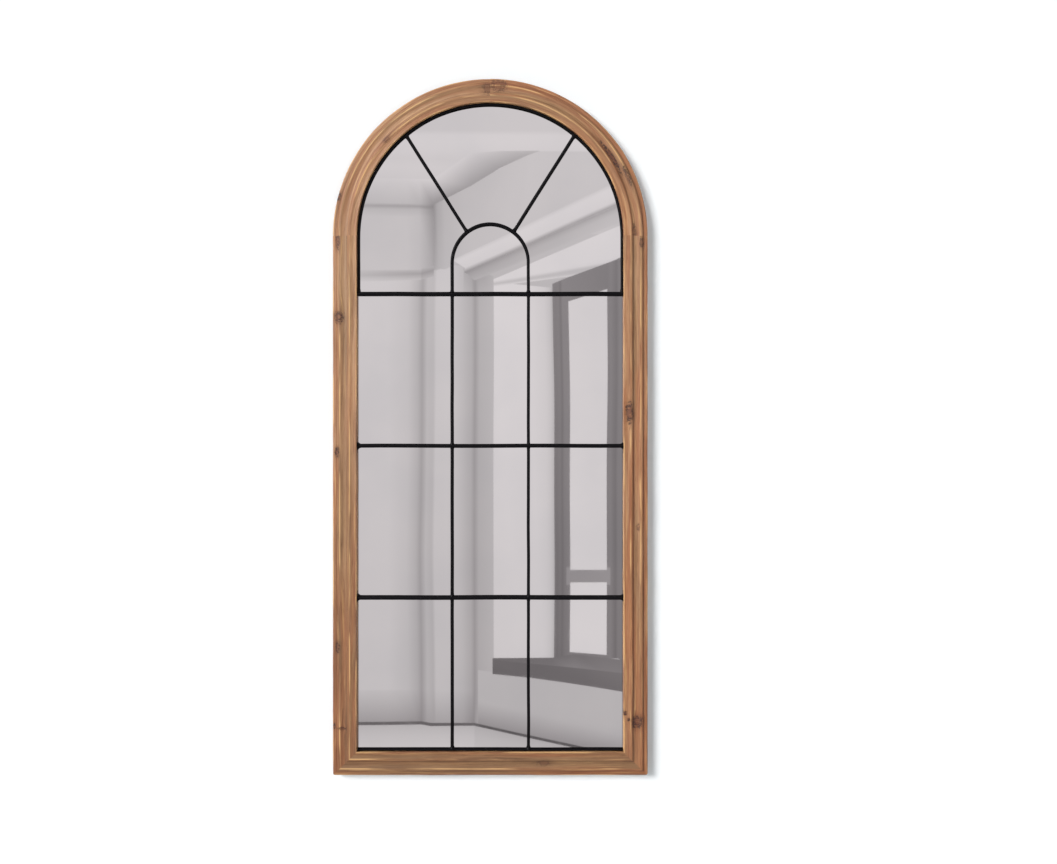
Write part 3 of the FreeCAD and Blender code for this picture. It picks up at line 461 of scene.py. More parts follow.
def stained_softwood():
    """Two stains drift into each other along and across a length, with paler patches. Over them
    lie dark and light growth lines, fine brushed fibres, gold where crests are worn, which is
    also a painted highlight on them, painted shade in the feet of the risers, and blotted knots."""
    material, n = new_material("stained_softwood")
    grain = n.attribute("grain", "Vector")
    wander = n.noise(grain, (4.5, 30, 30), detail=2)
    sway = n.add("ShaderNodeCombineXYZ", None, {"Y": (wander - 0.5) * 0.016})
    grain = n.add("ShaderNodeVectorMath", {"operation": "ADD"}, {0: grain, 1: sway})
    across = n.attribute("across")
    outer = across.rise(*OUTER_FADE)
    middle = across.rise(*MIDDLE_FADE_IN) * across.rise(*MIDDLE_FADE_OUT)

    board = n.noise(grain, (2.6, 60, 30), detail=3)
    patch = n.noise(grain, (4.5, 80, 50), detail=3)
    cloud = n.noise(grain, (9, 45, 30), detail=3, rough=0.6)
    streak = n.noise(grain, (5.5, 240, 180), detail=3, rough=0.6)
    line = n.noise(grain, (7.0, 560, 420), detail=2, rough=0.6)
    fibre = n.noise(grain, (30, 2200, 1800), detail=2, rough=0.65)
    fleck = n.noise(grain, (45, 900, 700), detail=1)

    warmth = n.attribute("warmth") + (board - 0.5) * 2.2 + outer * 0.25 - middle * 0.20
    colour = n.mix(warmth.rise(0.0, 1.0), STAIN_COOL, STAIN_WARM)
    paleness = n.attribute("pale") + (patch - 0.5) * 2.2
    colour = n.mix(paleness.rise(0.15, 1.1) * 0.85, colour, STAIN_PALE)
    colour = n.mix(streak.rise(0.54, 0.74) * 0.55, colour, GOLD_STAIN_AND_HIGHLIGHT)
    depth = n.attribute("deep") + (cloud - 0.5) * 1.6
    for mark, pale, dark, strength in (
            (depth, 0.0, 1.2, 0.62), (streak, 0.48, 0.30, 0.50), (line, 0.47, 0.30, 0.40),
            (fleck, 0.36, 0.26, 0.50), (fibre, 0.58, 0.36, 0.30)):
        colour = n.mix(mark.rise(pale, dark) * strength, colour, DARK_STAIN_AND_SHADE, "MULTIPLY")

    rubbed_and_painted_light = n.attribute("rubbed_and_painted_light")
    chance = n.noise(grain, (8, 60, 60), detail=2)
    # Gold on the worn crests, which is also a painted highlight
    colour = n.mix(rubbed_and_painted_light.rise(0.30, 1.0) * chance.rise(0.44, 0.64) * 0.75, colour, GOLD_STAIN_AND_HIGHLIGHT)
    # Painted shade in the feet of the risers
    colour = n.mix(rubbed_and_painted_light.rise(-0.2, -0.9) * 0.30, colour, DARK_STAIN_AND_SHADE, "MULTIPLY")

    frayed = n.noise(grain, (190, 330, 330), detail=2, rough=0.6)
    blot = n.noise(grain, (260, 420, 420), detail=1)
    knot = n.attribute("knot") + (frayed - 0.5) * 2.0
    dark = n.attribute("knot_dark")
    colour = n.mix(knot.rise(2.6, 0.9) * dark * 0.60, colour, DARK_STAIN_AND_SHADE, "MULTIPLY")
    colour = n.mix(knot.rise(1.30, 0.75) * blot.rise(0.26, 0.50) * dark * 0.92, colour,
                   KNOT_HEART)
    rim = knot.rise(1.60, 1.10) * knot.rise(0.45, 0.85) * blot.rise(0.38, 0.52) * dark
    colour = n.mix(rim * 0.90, colour, KNOT_RIM)

    dull = 0.50 + (fibre - 0.5) * 0.25 + streak.rise(0.5, 0.3) * 0.10
    relief = fibre * 0.5 + streak.rise(0.3, 0.6) * 0.35 + line * 0.4 - rim * 0.8
    n.surface(base_color=colour, roughness=dull, ior=1.45,
              normal=n.bump(relief, 0.0006, 0.55))
    return material


softwood = stained_softwood()
for moulding in mouldings:
    paint(moulding, softwood)


# Dowels -----------------------------------------------------------------------
# Fluted beech pegs, two in each of the five joints of the frame. They are glued into
# both lengths and don't show once the frame is together.

BEECH, BEECH_FLECK = (0.60, 0.43, 0.27), (0.42, 0.27, 0.15)


def beech():
    """Pale wood with short darker rays."""
    material, n = new_material("beech")
    ray = n.noise(n.place(), (900, 300, 900), detail=2)
    n.surface(base_color=n.mix(ray.rise(0.5, 0.7), BEECH, BEECH_FLECK),
              roughness=0.6 + ray * 0.15, normal=n.bump(ray, 0.0002))
    return material


peg_wood = beech()
for joint in ("crown", "left_spring", "right_spring", "left_corner", "right_corner"):
    paint(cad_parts[joint + "_dowels"], peg_wood)


# The pane ---------------------------------------------------------------------
# Clear float glass, 4 mm thick, silvered on the back and cut to the frame's outline
# with some play. It lies in the inner rebate against the back of the lip.

SILVER, SILVER_AGED = (0.80, 0.785, 0.785), (0.76, 0.75, 0.755)
# The colour and strength of the painted shade beside the lip, and how far it reaches
SILVER_PAINTED_SHADE, EDGE_SHADE_STRENGTH, EDGE_REACH = (0.34, 0.33, 0.34), 0.7, 0.004
LIP_RADIUS = HALF_WIDTH - FACE_WIDTH


def silvered_glass():
    """A clean mirror: its tone and gloss drift a little over a hand's width, the glass waves so
    slightly that only a long straight reflection shows it, and a few millimetres beside the lip
    are darkened with painted shade along the rebate. Its outline is a circle about the middle of
    the spring line, which runs straight down below it."""
    material, n = new_material("silvered_glass")
    place = n.place()
    cloud = n.speckle(5, 3)
    smear = n.noise(place, (30, 30, 12), detail=4)
    wave = n.speckle(3, 0)
    silver = n.mix(cloud.rise(0.35, 0.7), SILVER, SILVER_AGED)
    x, z = (n.add("ShaderNodeSeparateXYZ", None, {"Vector": place}, axis) for axis in "XZ")
    above = z - SPRING_HEIGHT
    above = above.math("MAXIMUM", above, 0.0)
    reach = (x * x + above * above) ** 0.5
    # Painted shade: the silver darkens over the last few millimetres beside the lip
    painted_edge_shade = reach.rise(LIP_RADIUS - EDGE_REACH, LIP_RADIUS) * EDGE_SHADE_STRENGTH
    silver = n.mix(painted_edge_shade, silver, SILVER_PAINTED_SHADE)
    n.surface(base_color=silver, metallic=1.0,
              roughness=0.014 + smear.rise(0.45, 0.75) * 0.008,
              normal=n.bump(wave, 0.0004))
    return material


paint(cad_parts["mirror_pane"], silvered_glass())


# Foam sheet and backing board -------------------------------------------------
# A sheet of closed-cell foam cushions the pane against a 3 mm hardboard panel, which
# lies in the outer rebate and is screwed to the frame all round.

FOAM, FOAM_CELL = (0.80, 0.80, 0.80), (0.70, 0.70, 0.71)
BOARD_FACE, BOARD_FIBRE = (0.24, 0.135, 0.07), (0.12, 0.065, 0.035)
BOARD_PALE = (0.36, 0.23, 0.13)


def closed_cell_foam():
    """White foam with fine pores."""
    material, n = new_material("closed_cell_foam")
    pore = n.speckle(1100, 1)
    n.surface(base_color=n.mix(pore.rise(0.45, 0.65), FOAM, FOAM_CELL),
              roughness=0.8 + pore * 0.1, normal=n.bump(pore, 0.0003))
    return material


def hardboard():
    """Pressed brown fibre: pale and dark hairs over a cloudy ground."""
    material, n = new_material("hardboard")
    place = n.place()
    cloud = n.speckle(14, 3)
    hair = n.noise(place, (500, 500, 170), detail=3, rough=0.7)
    cross = n.noise(place, (150, 500, 620), detail=3, rough=0.7)
    colour = n.mix(cloud.rise(0.3, 0.7) * 0.35, BOARD_FACE, BOARD_FIBRE)
    colour = n.mix(hair.rise(0.56, 0.72) * 0.55, colour, BOARD_FIBRE)
    colour = n.mix(cross.rise(0.58, 0.74) * 0.50, colour, BOARD_PALE)
    n.surface(base_color=colour, roughness=0.66 + hair * 0.2,
              normal=n.bump(hair + cross, 0.0002, 0.6))
    return material


paint(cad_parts["foam_sheet"], closed_cell_foam())
paint(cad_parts["backing_board"], hardboard())


# Screws -----------------------------------------------------------------------
# Zinc-plated steel with a cross recess: countersunk ones round the board and in the
# grille's tabs, and round-headed ones in the strap hangers.

BOARD_SCREW_HEAD, BOARD_SCREW_SINK, BOARD_SCREW_RISE = 0.0034, 0.0019, 0.00005
BOARD_SCREW_ACROSS, BOARD_SCREW_FOOT, BOARD_SCREW_TOP = 0.036, 0.110, 0.095
BOARD_SCREW_ANGLES, BOARD_SCREW_STEP = (22.5, 45.0, 67.5), 0.200
STRAP_SCREW_HEAD, STRAP_SCREW_CROWN, STRAP_SCREW_RISE = 0.0035, 0.0029, 0.0020
STRAP_SCREW_SINK, STRAP_SCREW_DROPS = 0.0010, (0.0255, 0.040)
STRAP_THICKNESS, HANGER_ACROSS, HINGE_DROP = 0.0014, 0.014, 0.060
RECESS_ARM, RECESS_REACH, RECESS_DEPTH, RECESS_RAMP = 0.0005, 0.0020, 0.0012, 0.0004
ZINC, ZINC_DULL = (0.66, 0.655, 0.63), (0.47, 0.47, 0.45)


def screw_head(x, y, z, turn, radius, crown, rise, sink):
    """A head that faces the back. From its axis out, it is domed by rise over its
    crown, falls to its rim, and closes in a cone sink deep. A cross of two arms is
    pressed into it: the depth falls off with the distance from the nearer arm."""
    angle = np.linspace(0, 2 * np.pi, 64, endpoint=False)[None, :]
    reach = np.concatenate([np.linspace(0.00005, crown, 20), [radius, radius * 0.45]])[:, None]
    across, up = reach * np.cos(angle), reach * np.sin(angle)
    height = rise * np.sqrt(np.clip(1 - (reach / radius) ** 2 * 0.55, 0, 1))
    arm = np.minimum(np.abs(across), np.abs(up)) / RECESS_ARM
    hollow = np.clip(1.6 - arm, 0, 1) * np.clip((RECESS_REACH - reach) / RECESS_RAMP, 0, 1)
    height = height - RECESS_DEPTH * hollow * (1 - 0.5 * reach / RECESS_REACH)
    height[-2], height[-1] = 0, -sink
    cosine, sine = math.cos(turn), math.sin(turn)
    return np.stack([x + across * cosine - up * sine, y + height,
                     z + across * sine + up * cosine], axis=-1)


def zinc_plate():
    """Bright zinc with a soft bloom and fine scratches from tumbling."""
    material, n = new_material("zinc_plate")
    place = n.place()
    bloom = n.speckle(260, 3)
    scratch = n.noise(place, (4000, 4000, 300), detail=2)
    n.surface(base_color=n.mix(bloom.rise(0.4, 0.7), ZINC, ZINC_DULL), metallic=1.0,
              roughness=0.30 + bloom * 0.22 + scratch.rise(0.6, 0.7) * 0.1,
              normal=n.bump(scratch, 0.00005, 0.5))
    return material


plate = zinc_plate()
board_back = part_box("backing_board")[1].y
reach = HALF_WIDTH - BOARD_SCREW_ACROSS
spots = [(side * reach, height) for side in (-1, 1)
         for height in np.linspace(BOARD_SCREW_FOOT, SPRING_HEIGHT - BOARD_SCREW_TOP, 4)]
spots += [(side * reach * math.cos(math.radians(a)),
           SPRING_HEIGHT + reach * math.sin(math.radians(a)))
          for side in (-1, 1) for a in BOARD_SCREW_ANGLES]
spots += [(step * BOARD_SCREW_STEP, BOARD_SCREW_ACROSS) for step in (-1, 0, 1)]
board_heads = quad_grid("board_screw_heads", [screw_head(
    x, board_back - BOARD_SCREW_RISE, z, 1.3 * number, BOARD_SCREW_HEAD,
    BOARD_SCREW_HEAD * 0.93, BOARD_SCREW_RISE, BOARD_SCREW_SINK)
    for number, (x, z) in enumerate(spots)], crease=35)

strap_face, hinge_height = WOOD_BACK + STRAP_THICKNESS, SPRING_HEIGHT - HINGE_DROP
strap_heads = quad_grid("strap_screw_heads", [screw_head(
    side * (HALF_WIDTH - HANGER_ACROSS), strap_face, hinge_height - drop,
    0.5 + side * drop * 40, STRAP_SCREW_HEAD, STRAP_SCREW_CROWN, STRAP_SCREW_RISE,
    STRAP_SCREW_SINK) for side in (-1, 1) for drop in STRAP_SCREW_DROPS], crease=35)
for heads, node in ((board_heads, "board_screws"), (strap_heads, "hanger_screws")):
    paint(heads, plate)
    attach(heads, "frame")
    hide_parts(node)
paint(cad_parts["tab_screws"], plate)


# The grille -------------------------------------------------------------------
# Round steel bar, cut and bent by hand, welded together and painted satin black: four
# crossbars, six upright lengths between them, a hoop along the arch, a small inner
# arch and two spokes. It stands in front of the pane, with its ends under the lip.

bar_low, bar_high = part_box("upper_crossbar")
BAR_RADIUS = (bar_high.z - bar_low.z) / 2
GRILLE_PLANE = (bar_low.y + bar_high.y) / 2
upright_low, upright_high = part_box("left_upright_lower")
ROD_RADIUS = (upright_high.x - upright_low.x) / 2
rim_low, rim_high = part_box("bottom_rod")
RIM_ROD_RADIUS = (rim_high.z - rim_low.z) / 2
INNER_ARCH_RADIUS = -(upright_high.x + upright_low.x) / 2
HOOP_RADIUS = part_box("hoop_rod")[1].x - RIM_ROD_RADIUS
INNER_ARCH_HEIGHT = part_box("inner_arch_rod")[1].z - ROD_RADIUS - INNER_ARCH_RADIUS
BAR_HEIGHTS = {bar: (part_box(bar)[0].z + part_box(bar)[1].z) / 2
               for bar in ("bottom_rod", "lower_crossbar", "middle_crossbar",
                           "upper_crossbar")}
BAR_BEND, BEND_FADE, BAR_UNEVENNESS = 0.00035, 0.06, 0.012


def rod(name, path, radius, seed):
    """A round bar along a path of x and z: at each point a circle square to the path.
    Its radius wavers by a percent or so, and its centre by a few tenths of a millimetre,
    which fade out over the last 60 mm."""
    ahead = np.gradient(path, axis=0)
    ahead /= np.hypot(*ahead.T)[:, None]
    square = np.stack([-ahead[:, 1], ahead[:, 0]], axis=1)
    along = np.cumsum(np.hypot(*np.gradient(path, axis=0).T))
    taper = np.clip(np.minimum(along - along[0], along[-1] - along) / BEND_FADE, 0, 1)
    path = path + square * (BAR_BEND * taper * ripple(along, 0, seed, 0.5, 1))[:, None]
    angle = np.linspace(0, 2 * np.pi, 28, endpoint=False)[None]
    uneven = ripple(along[:, None], angle, seed + 1, 0.05, 6.3)
    round_about = radius * (1 + BAR_UNEVENNESS * uneven)
    offset = round_about * np.cos(angle)
    return quad_grid(name, [np.stack([
        path[:, :1] + offset * square[:, :1],
        GRILLE_PLANE + round_about * np.sin(angle),
        path[:, 1:] + offset * square[:, 1:]], axis=-1)])


def straight(start, end, step=0.006):
    """Evenly spaced points from start to end."""
    count = max(2, round(math.dist(start, end) / step))
    return np.linspace(start, end, count)


def bent_path(radius, centre_height, foot_height):
    """Up one leg, over half a circle and down the other leg."""
    angle = np.linspace(np.pi, 0, round(math.pi * radius / 0.004))[1:-1]
    bow = np.stack([radius * np.cos(angle), centre_height + radius * np.sin(angle)], axis=1)
    left = straight((-radius, foot_height), (-radius, centre_height))
    right = straight((radius, centre_height), (radius, foot_height))
    return np.vstack([left, bow, right])


WELD_LENGTH, WELD_TOE, SMALL_WELD_TOE, HOOP_WELD_TOE = 0.0085, 0.0024, 0.0012, 0.0015
WELD_SUNK, RIM_WELD_SUNK, HOOP_WELD_IN = 0.6, 0.5, 0.0008
welds = []


def weld(foot, direction, foot_radius, tip_radius, depth=1.0):
    """Add a concave fillet from the bar up a rod that leaves it: the radius falls from
    the foot's to the rod's with the square of the distance, and ripples with the bead.
    A depth under 1 flattens its foot from front to back."""
    share = np.linspace(0, 1, 12)[:, None]
    angle = np.linspace(0, 2 * np.pi, 32, endpoint=False)[None]
    beads = ripple(share * 0.01, angle, len(welds), 0.012, 2.5)
    radius = tip_radius * 0.97 + (foot_radius - tip_radius) * (1 - share) ** 2
    radius = radius * (1 + 0.045 * beads * (1 - share))
    direction = np.array(direction) / np.hypot(*direction)
    square = np.array([-direction[1], direction[0]])
    middle = np.array(foot) + direction * share * WELD_LENGTH
    offset = radius * np.cos(angle)
    thick = radius * (depth + (1 - depth) * np.sqrt(share))
    welds.append(np.stack([middle[:, :1] + offset * square[0],
                           GRILLE_PLANE + thick * np.sin(angle),
                           middle[:, 1:] + offset * square[1]], axis=-1))


BAR_END = LIP_RADIUS + 0.0075
SPOKE_LEAN, SPOKE_AIM_DROP = math.radians(32.2), 0.0735
TAB_SPREADS, TAB_FLATNESS, TAB_PLAY = ((-1, 0.0098), (1, 0.0078)), 0.42, 0.0004
rods = {}
for number, (bar, height) in enumerate(BAR_HEIGHTS.items()):
    rods[bar] = rod(bar + "_bar", straight((-BAR_END, height), (BAR_END, height)),
                    RIM_ROD_RADIUS if bar == "bottom_rod" else BAR_RADIUS, 100 + number)
top_bar = BAR_HEIGHTS["upper_crossbar"]
rods["hoop_rod"] = rod("hoop", bent_path(HOOP_RADIUS, SPRING_HEIGHT, top_bar),
                       RIM_ROD_RADIUS, 110)
rods["inner_arch_rod"] = rod(
    "inner_arch", bent_path(INNER_ARCH_RADIUS, INNER_ARCH_HEIGHT, top_bar), ROD_RADIUS, 112)

SPOKE_AIM = np.array([0, SPRING_HEIGHT - SPOKE_AIM_DROP])


def spoke_end(slope, centre_height, radius):
    """Where a spoke's line leaves a circle about a point of the middle line: the far
    root of the quadratic for the distance from the aim."""
    to_aim = SPOKE_AIM - [0, centre_height]
    half = slope @ to_aim
    return SPOKE_AIM + slope * (-half + math.sqrt(half ** 2 - to_aim @ to_aim + radius ** 2))


steps = list(BAR_HEIGHTS.values())
for side, hand in ((-1, "left"), (1, "right")):
    x = side * INNER_ARCH_RADIUS
    for number, part in enumerate(("lower", "middle", "upper")):
        low, high = steps[number], steps[number + 1]
        name = f"{hand}_upright_{part}"
        rods[name] = rod(name + "_rod", straight((x, low), (x, high)), ROD_RADIUS,
                         120 + 3 * number + side)
        toe, sunk = ((WELD_TOE, RIM_ROD_RADIUS * RIM_WELD_SUNK) if number == 0 else
                     (SMALL_WELD_TOE, BAR_RADIUS * WELD_SUNK))
        weld((x, low + sunk), (0, 1), ROD_RADIUS + toe, ROD_RADIUS)
        weld((x, high - BAR_RADIUS * WELD_SUNK), (0, -1), ROD_RADIUS + SMALL_WELD_TOE,
             ROD_RADIUS)
    foot = top_bar + BAR_RADIUS * WELD_SUNK
    weld((x, foot), (0, 1), ROD_RADIUS + WELD_TOE, ROD_RADIUS)
    weld((side * (HOOP_RADIUS - HOOP_WELD_IN), foot), (0, 1),
         RIM_ROD_RADIUS + HOOP_WELD_TOE, RIM_ROD_RADIUS)

    # A spoke runs between the two arches on a line that leans out from the middle
    slope = np.array([side * math.sin(SPOKE_LEAN), math.cos(SPOKE_LEAN)])
    low = spoke_end(slope, INNER_ARCH_HEIGHT, INNER_ARCH_RADIUS)
    high = spoke_end(slope, SPRING_HEIGHT, HOOP_RADIUS)
    rods[f"{hand}_spoke"] = rod(f"{hand}_spoke_rod", straight(low, high), ROD_RADIUS,
                                140 + side)
    weld(low + slope * ROD_RADIUS * WELD_SUNK, slope, ROD_RADIUS + WELD_TOE, ROD_RADIUS)
    weld(high - slope * RIM_ROD_RADIUS * WELD_SUNK, -slope, ROD_RADIUS + WELD_TOE,
         ROD_RADIUS)

# The middle and lower crossbars spread into the tabs that hold them
for bar in ("lower_crossbar", "middle_crossbar"):
    for side, spread in TAB_SPREADS:
        weld((side * (LIP_RADIUS + TAB_PLAY), BAR_HEIGHTS[bar]), (-side, 0), spread,
             BAR_RADIUS, TAB_FLATNESS)

BLACK, BLACK_WORN = (0.0040, 0.0036, 0.0046), (0.010, 0.009, 0.011)


def satin_black():
    """Sprayed satin paint over hot-rolled bar: a fine orange peel, with slow changes of
    gloss where the coat is thinner."""
    material, n = new_material("satin_black")
    peel = n.speckle(1500, 2)
    scale = n.speckle(160, 3)
    n.surface(base_color=n.mix(scale.rise(0.55, 0.75), BLACK, BLACK_WORN),
              roughness=0.36 + scale * 0.14 + peel * 0.05, specular_ior_level=0.0,
              coat_weight=0.14, coat_roughness=0.38,
              normal=n.bump(peel * 0.4 + scale * 0.6, 0.00015, 0.6))
    return material


black_paint = satin_black()
rods["weld_beads"] = quad_grid("weld_fillets", welds, crease=80)
for node, piece in rods.items():
    paint(piece, black_paint)
    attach(piece, "frame")
    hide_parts(node)
paint(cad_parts["grille_tabs"], black_paint)


# Strap hangers ----------------------------------------------------------------
# A strap of plated steel on the back of each stile, curled round the bar of a D-ring
# that is bent from one wire. The ring swings up and away from the wood.

for hand in ("left", "right"):
    paint(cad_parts[hand + "_hanger_strap"], plate)
    paint(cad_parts[hand + "_hanger_ring"], plate)


# Wall pads --------------------------------------------------------------------
# Four moulded rubber pads, glued to the back. They keep the hangers off the wall.

RUBBER, RUBBER_DUST = (0.022, 0.022, 0.023), (0.06, 0.06, 0.058)


def rubber():
    """Matt black rubber with a little dust in its skin."""
    material, n = new_material("rubber")
    grit = n.speckle(1800, 2)
    dust = n.speckle(220, 3)
    n.surface(base_color=n.mix(dust.rise(0.5, 0.75), RUBBER, RUBBER_DUST),
              roughness=0.68 + dust * 0.2, normal=n.bump(grit, 0.0001))
    return material


paint(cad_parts["wall_pads"], rubber())


# The set ----------------------------------------------------------------------
# The mirror hangs on a plain white wall above a plain pale floor. The wall shows only
# from its front, so that the back of the mirror can be looked at through it.

WALL = cad_box[1].y + 0.0002
FLOOR_DROP = 1.05
STAGE = 7.0
WALL_PAINT, FLOOR_PAINT = (0.95, 0.95, 0.955), (0.92, 0.92, 0.925)
WHITENING, WHITENING_TINT = 0.07, (0.30, 0.80, 1.0)


def card(name, corners, faces=((0, 1, 2, 3),)):
    """A flat piece of the set, facing where its corners run anticlockwise."""
    mesh = bpy.data.meshes.new(name)
    mesh.from_pydata(corners, [], faces)
    piece = new_object(name, mesh)
    return piece


def seen_directly(n):
    """1 where the camera looks, also by way of a mirror or through glass, else 0."""
    camera, glossy, transmission = (
        n.add("ShaderNodeLightPath", output=f"Is {ray} Ray")
        for ray in ("Camera", "Glossy", "Transmission"))
    return camera + glossy + transmission


def white_ground(name, colour):
    """Matt paint that takes shadows. The eye sees it a step brighter, up to white, and
    nothing sees its back."""
    material, n = new_material(name)
    roller = n.speckle(60, 2)
    matt = n.add("ShaderNodeBsdfDiffuse", None, {
        "Color": n.mix(roller * 0.04, colour, (0.8, 0.8, 0.8))})
    light = n.add("ShaderNodeEmission", None, {"Color": WHITENING_TINT,
                                               "Strength": seen_directly(n) * WHITENING})
    lit = n.add("ShaderNodeAddShader", None, {0: matt, 1: light})
    gone = n.add("ShaderNodeBsdfTransparent")
    behind = n.add("ShaderNodeNewGeometry", output="Backfacing")
    n.output(n.add("ShaderNodeMixShader", None, {0: behind, 1: lit, 2: gone}))
    return material


wall = card("wall", [(-STAGE, WALL, -FLOOR_DROP), (STAGE, WALL, -FLOOR_DROP),
                     (STAGE, WALL, STAGE), (-STAGE, WALL, STAGE)])
paint(wall, white_ground("wall_paint", WALL_PAINT))
wall.visible_diffuse = wall.visible_glossy = wall.visible_shadow = False
floor = card("floor", [(-STAGE, -STAGE, -FLOOR_DROP), (STAGE, -STAGE, -FLOOR_DROP),
                       (STAGE, STAGE, -FLOOR_DROP), (-STAGE, STAGE, -FLOOR_DROP)])
paint(floor, white_ground("floor_paint", FLOOR_PAINT))
floor.visible_glossy = False

# The camera stands at mirror height, a little to the right of its middle, and looks
# straight at the wall.
IMAGE_WIDTH = 1057
FRAME_WIDTH_PX = 316.5
FRAME_MIDDLE_PX = (490.1, 427.0)
IMAGE_MIDDLE_PX = (528.5, 432.0)
CAMERA_DISTANCE, SENSOR_WIDTH = 2.6, 36.0
METRES_PER_PX = 2 * HALF_WIDTH / FRAME_WIDTH_PX
CAMERA_X = (IMAGE_MIDDLE_PX[0] - FRAME_MIDDLE_PX[0]) * METRES_PER_PX
CAMERA_Z = cad_box[1].z / 2 - (IMAGE_MIDDLE_PX[1] - FRAME_MIDDLE_PX[1]) * METRES_PER_PX
camera = new_object("camera", bpy.data.cameras.new("camera"))
camera.location = (CAMERA_X, cad_box[0].y - CAMERA_DISTANCE, CAMERA_Z)
camera.rotation_euler = (math.radians(90), 0, 0)
camera.data.sensor_width = SENSOR_WIDTH
camera.data.lens = SENSOR_WIDTH * CAMERA_DISTANCE / (IMAGE_WIDTH * METRES_PER_PX)
bpy.context.scene.camera = camera
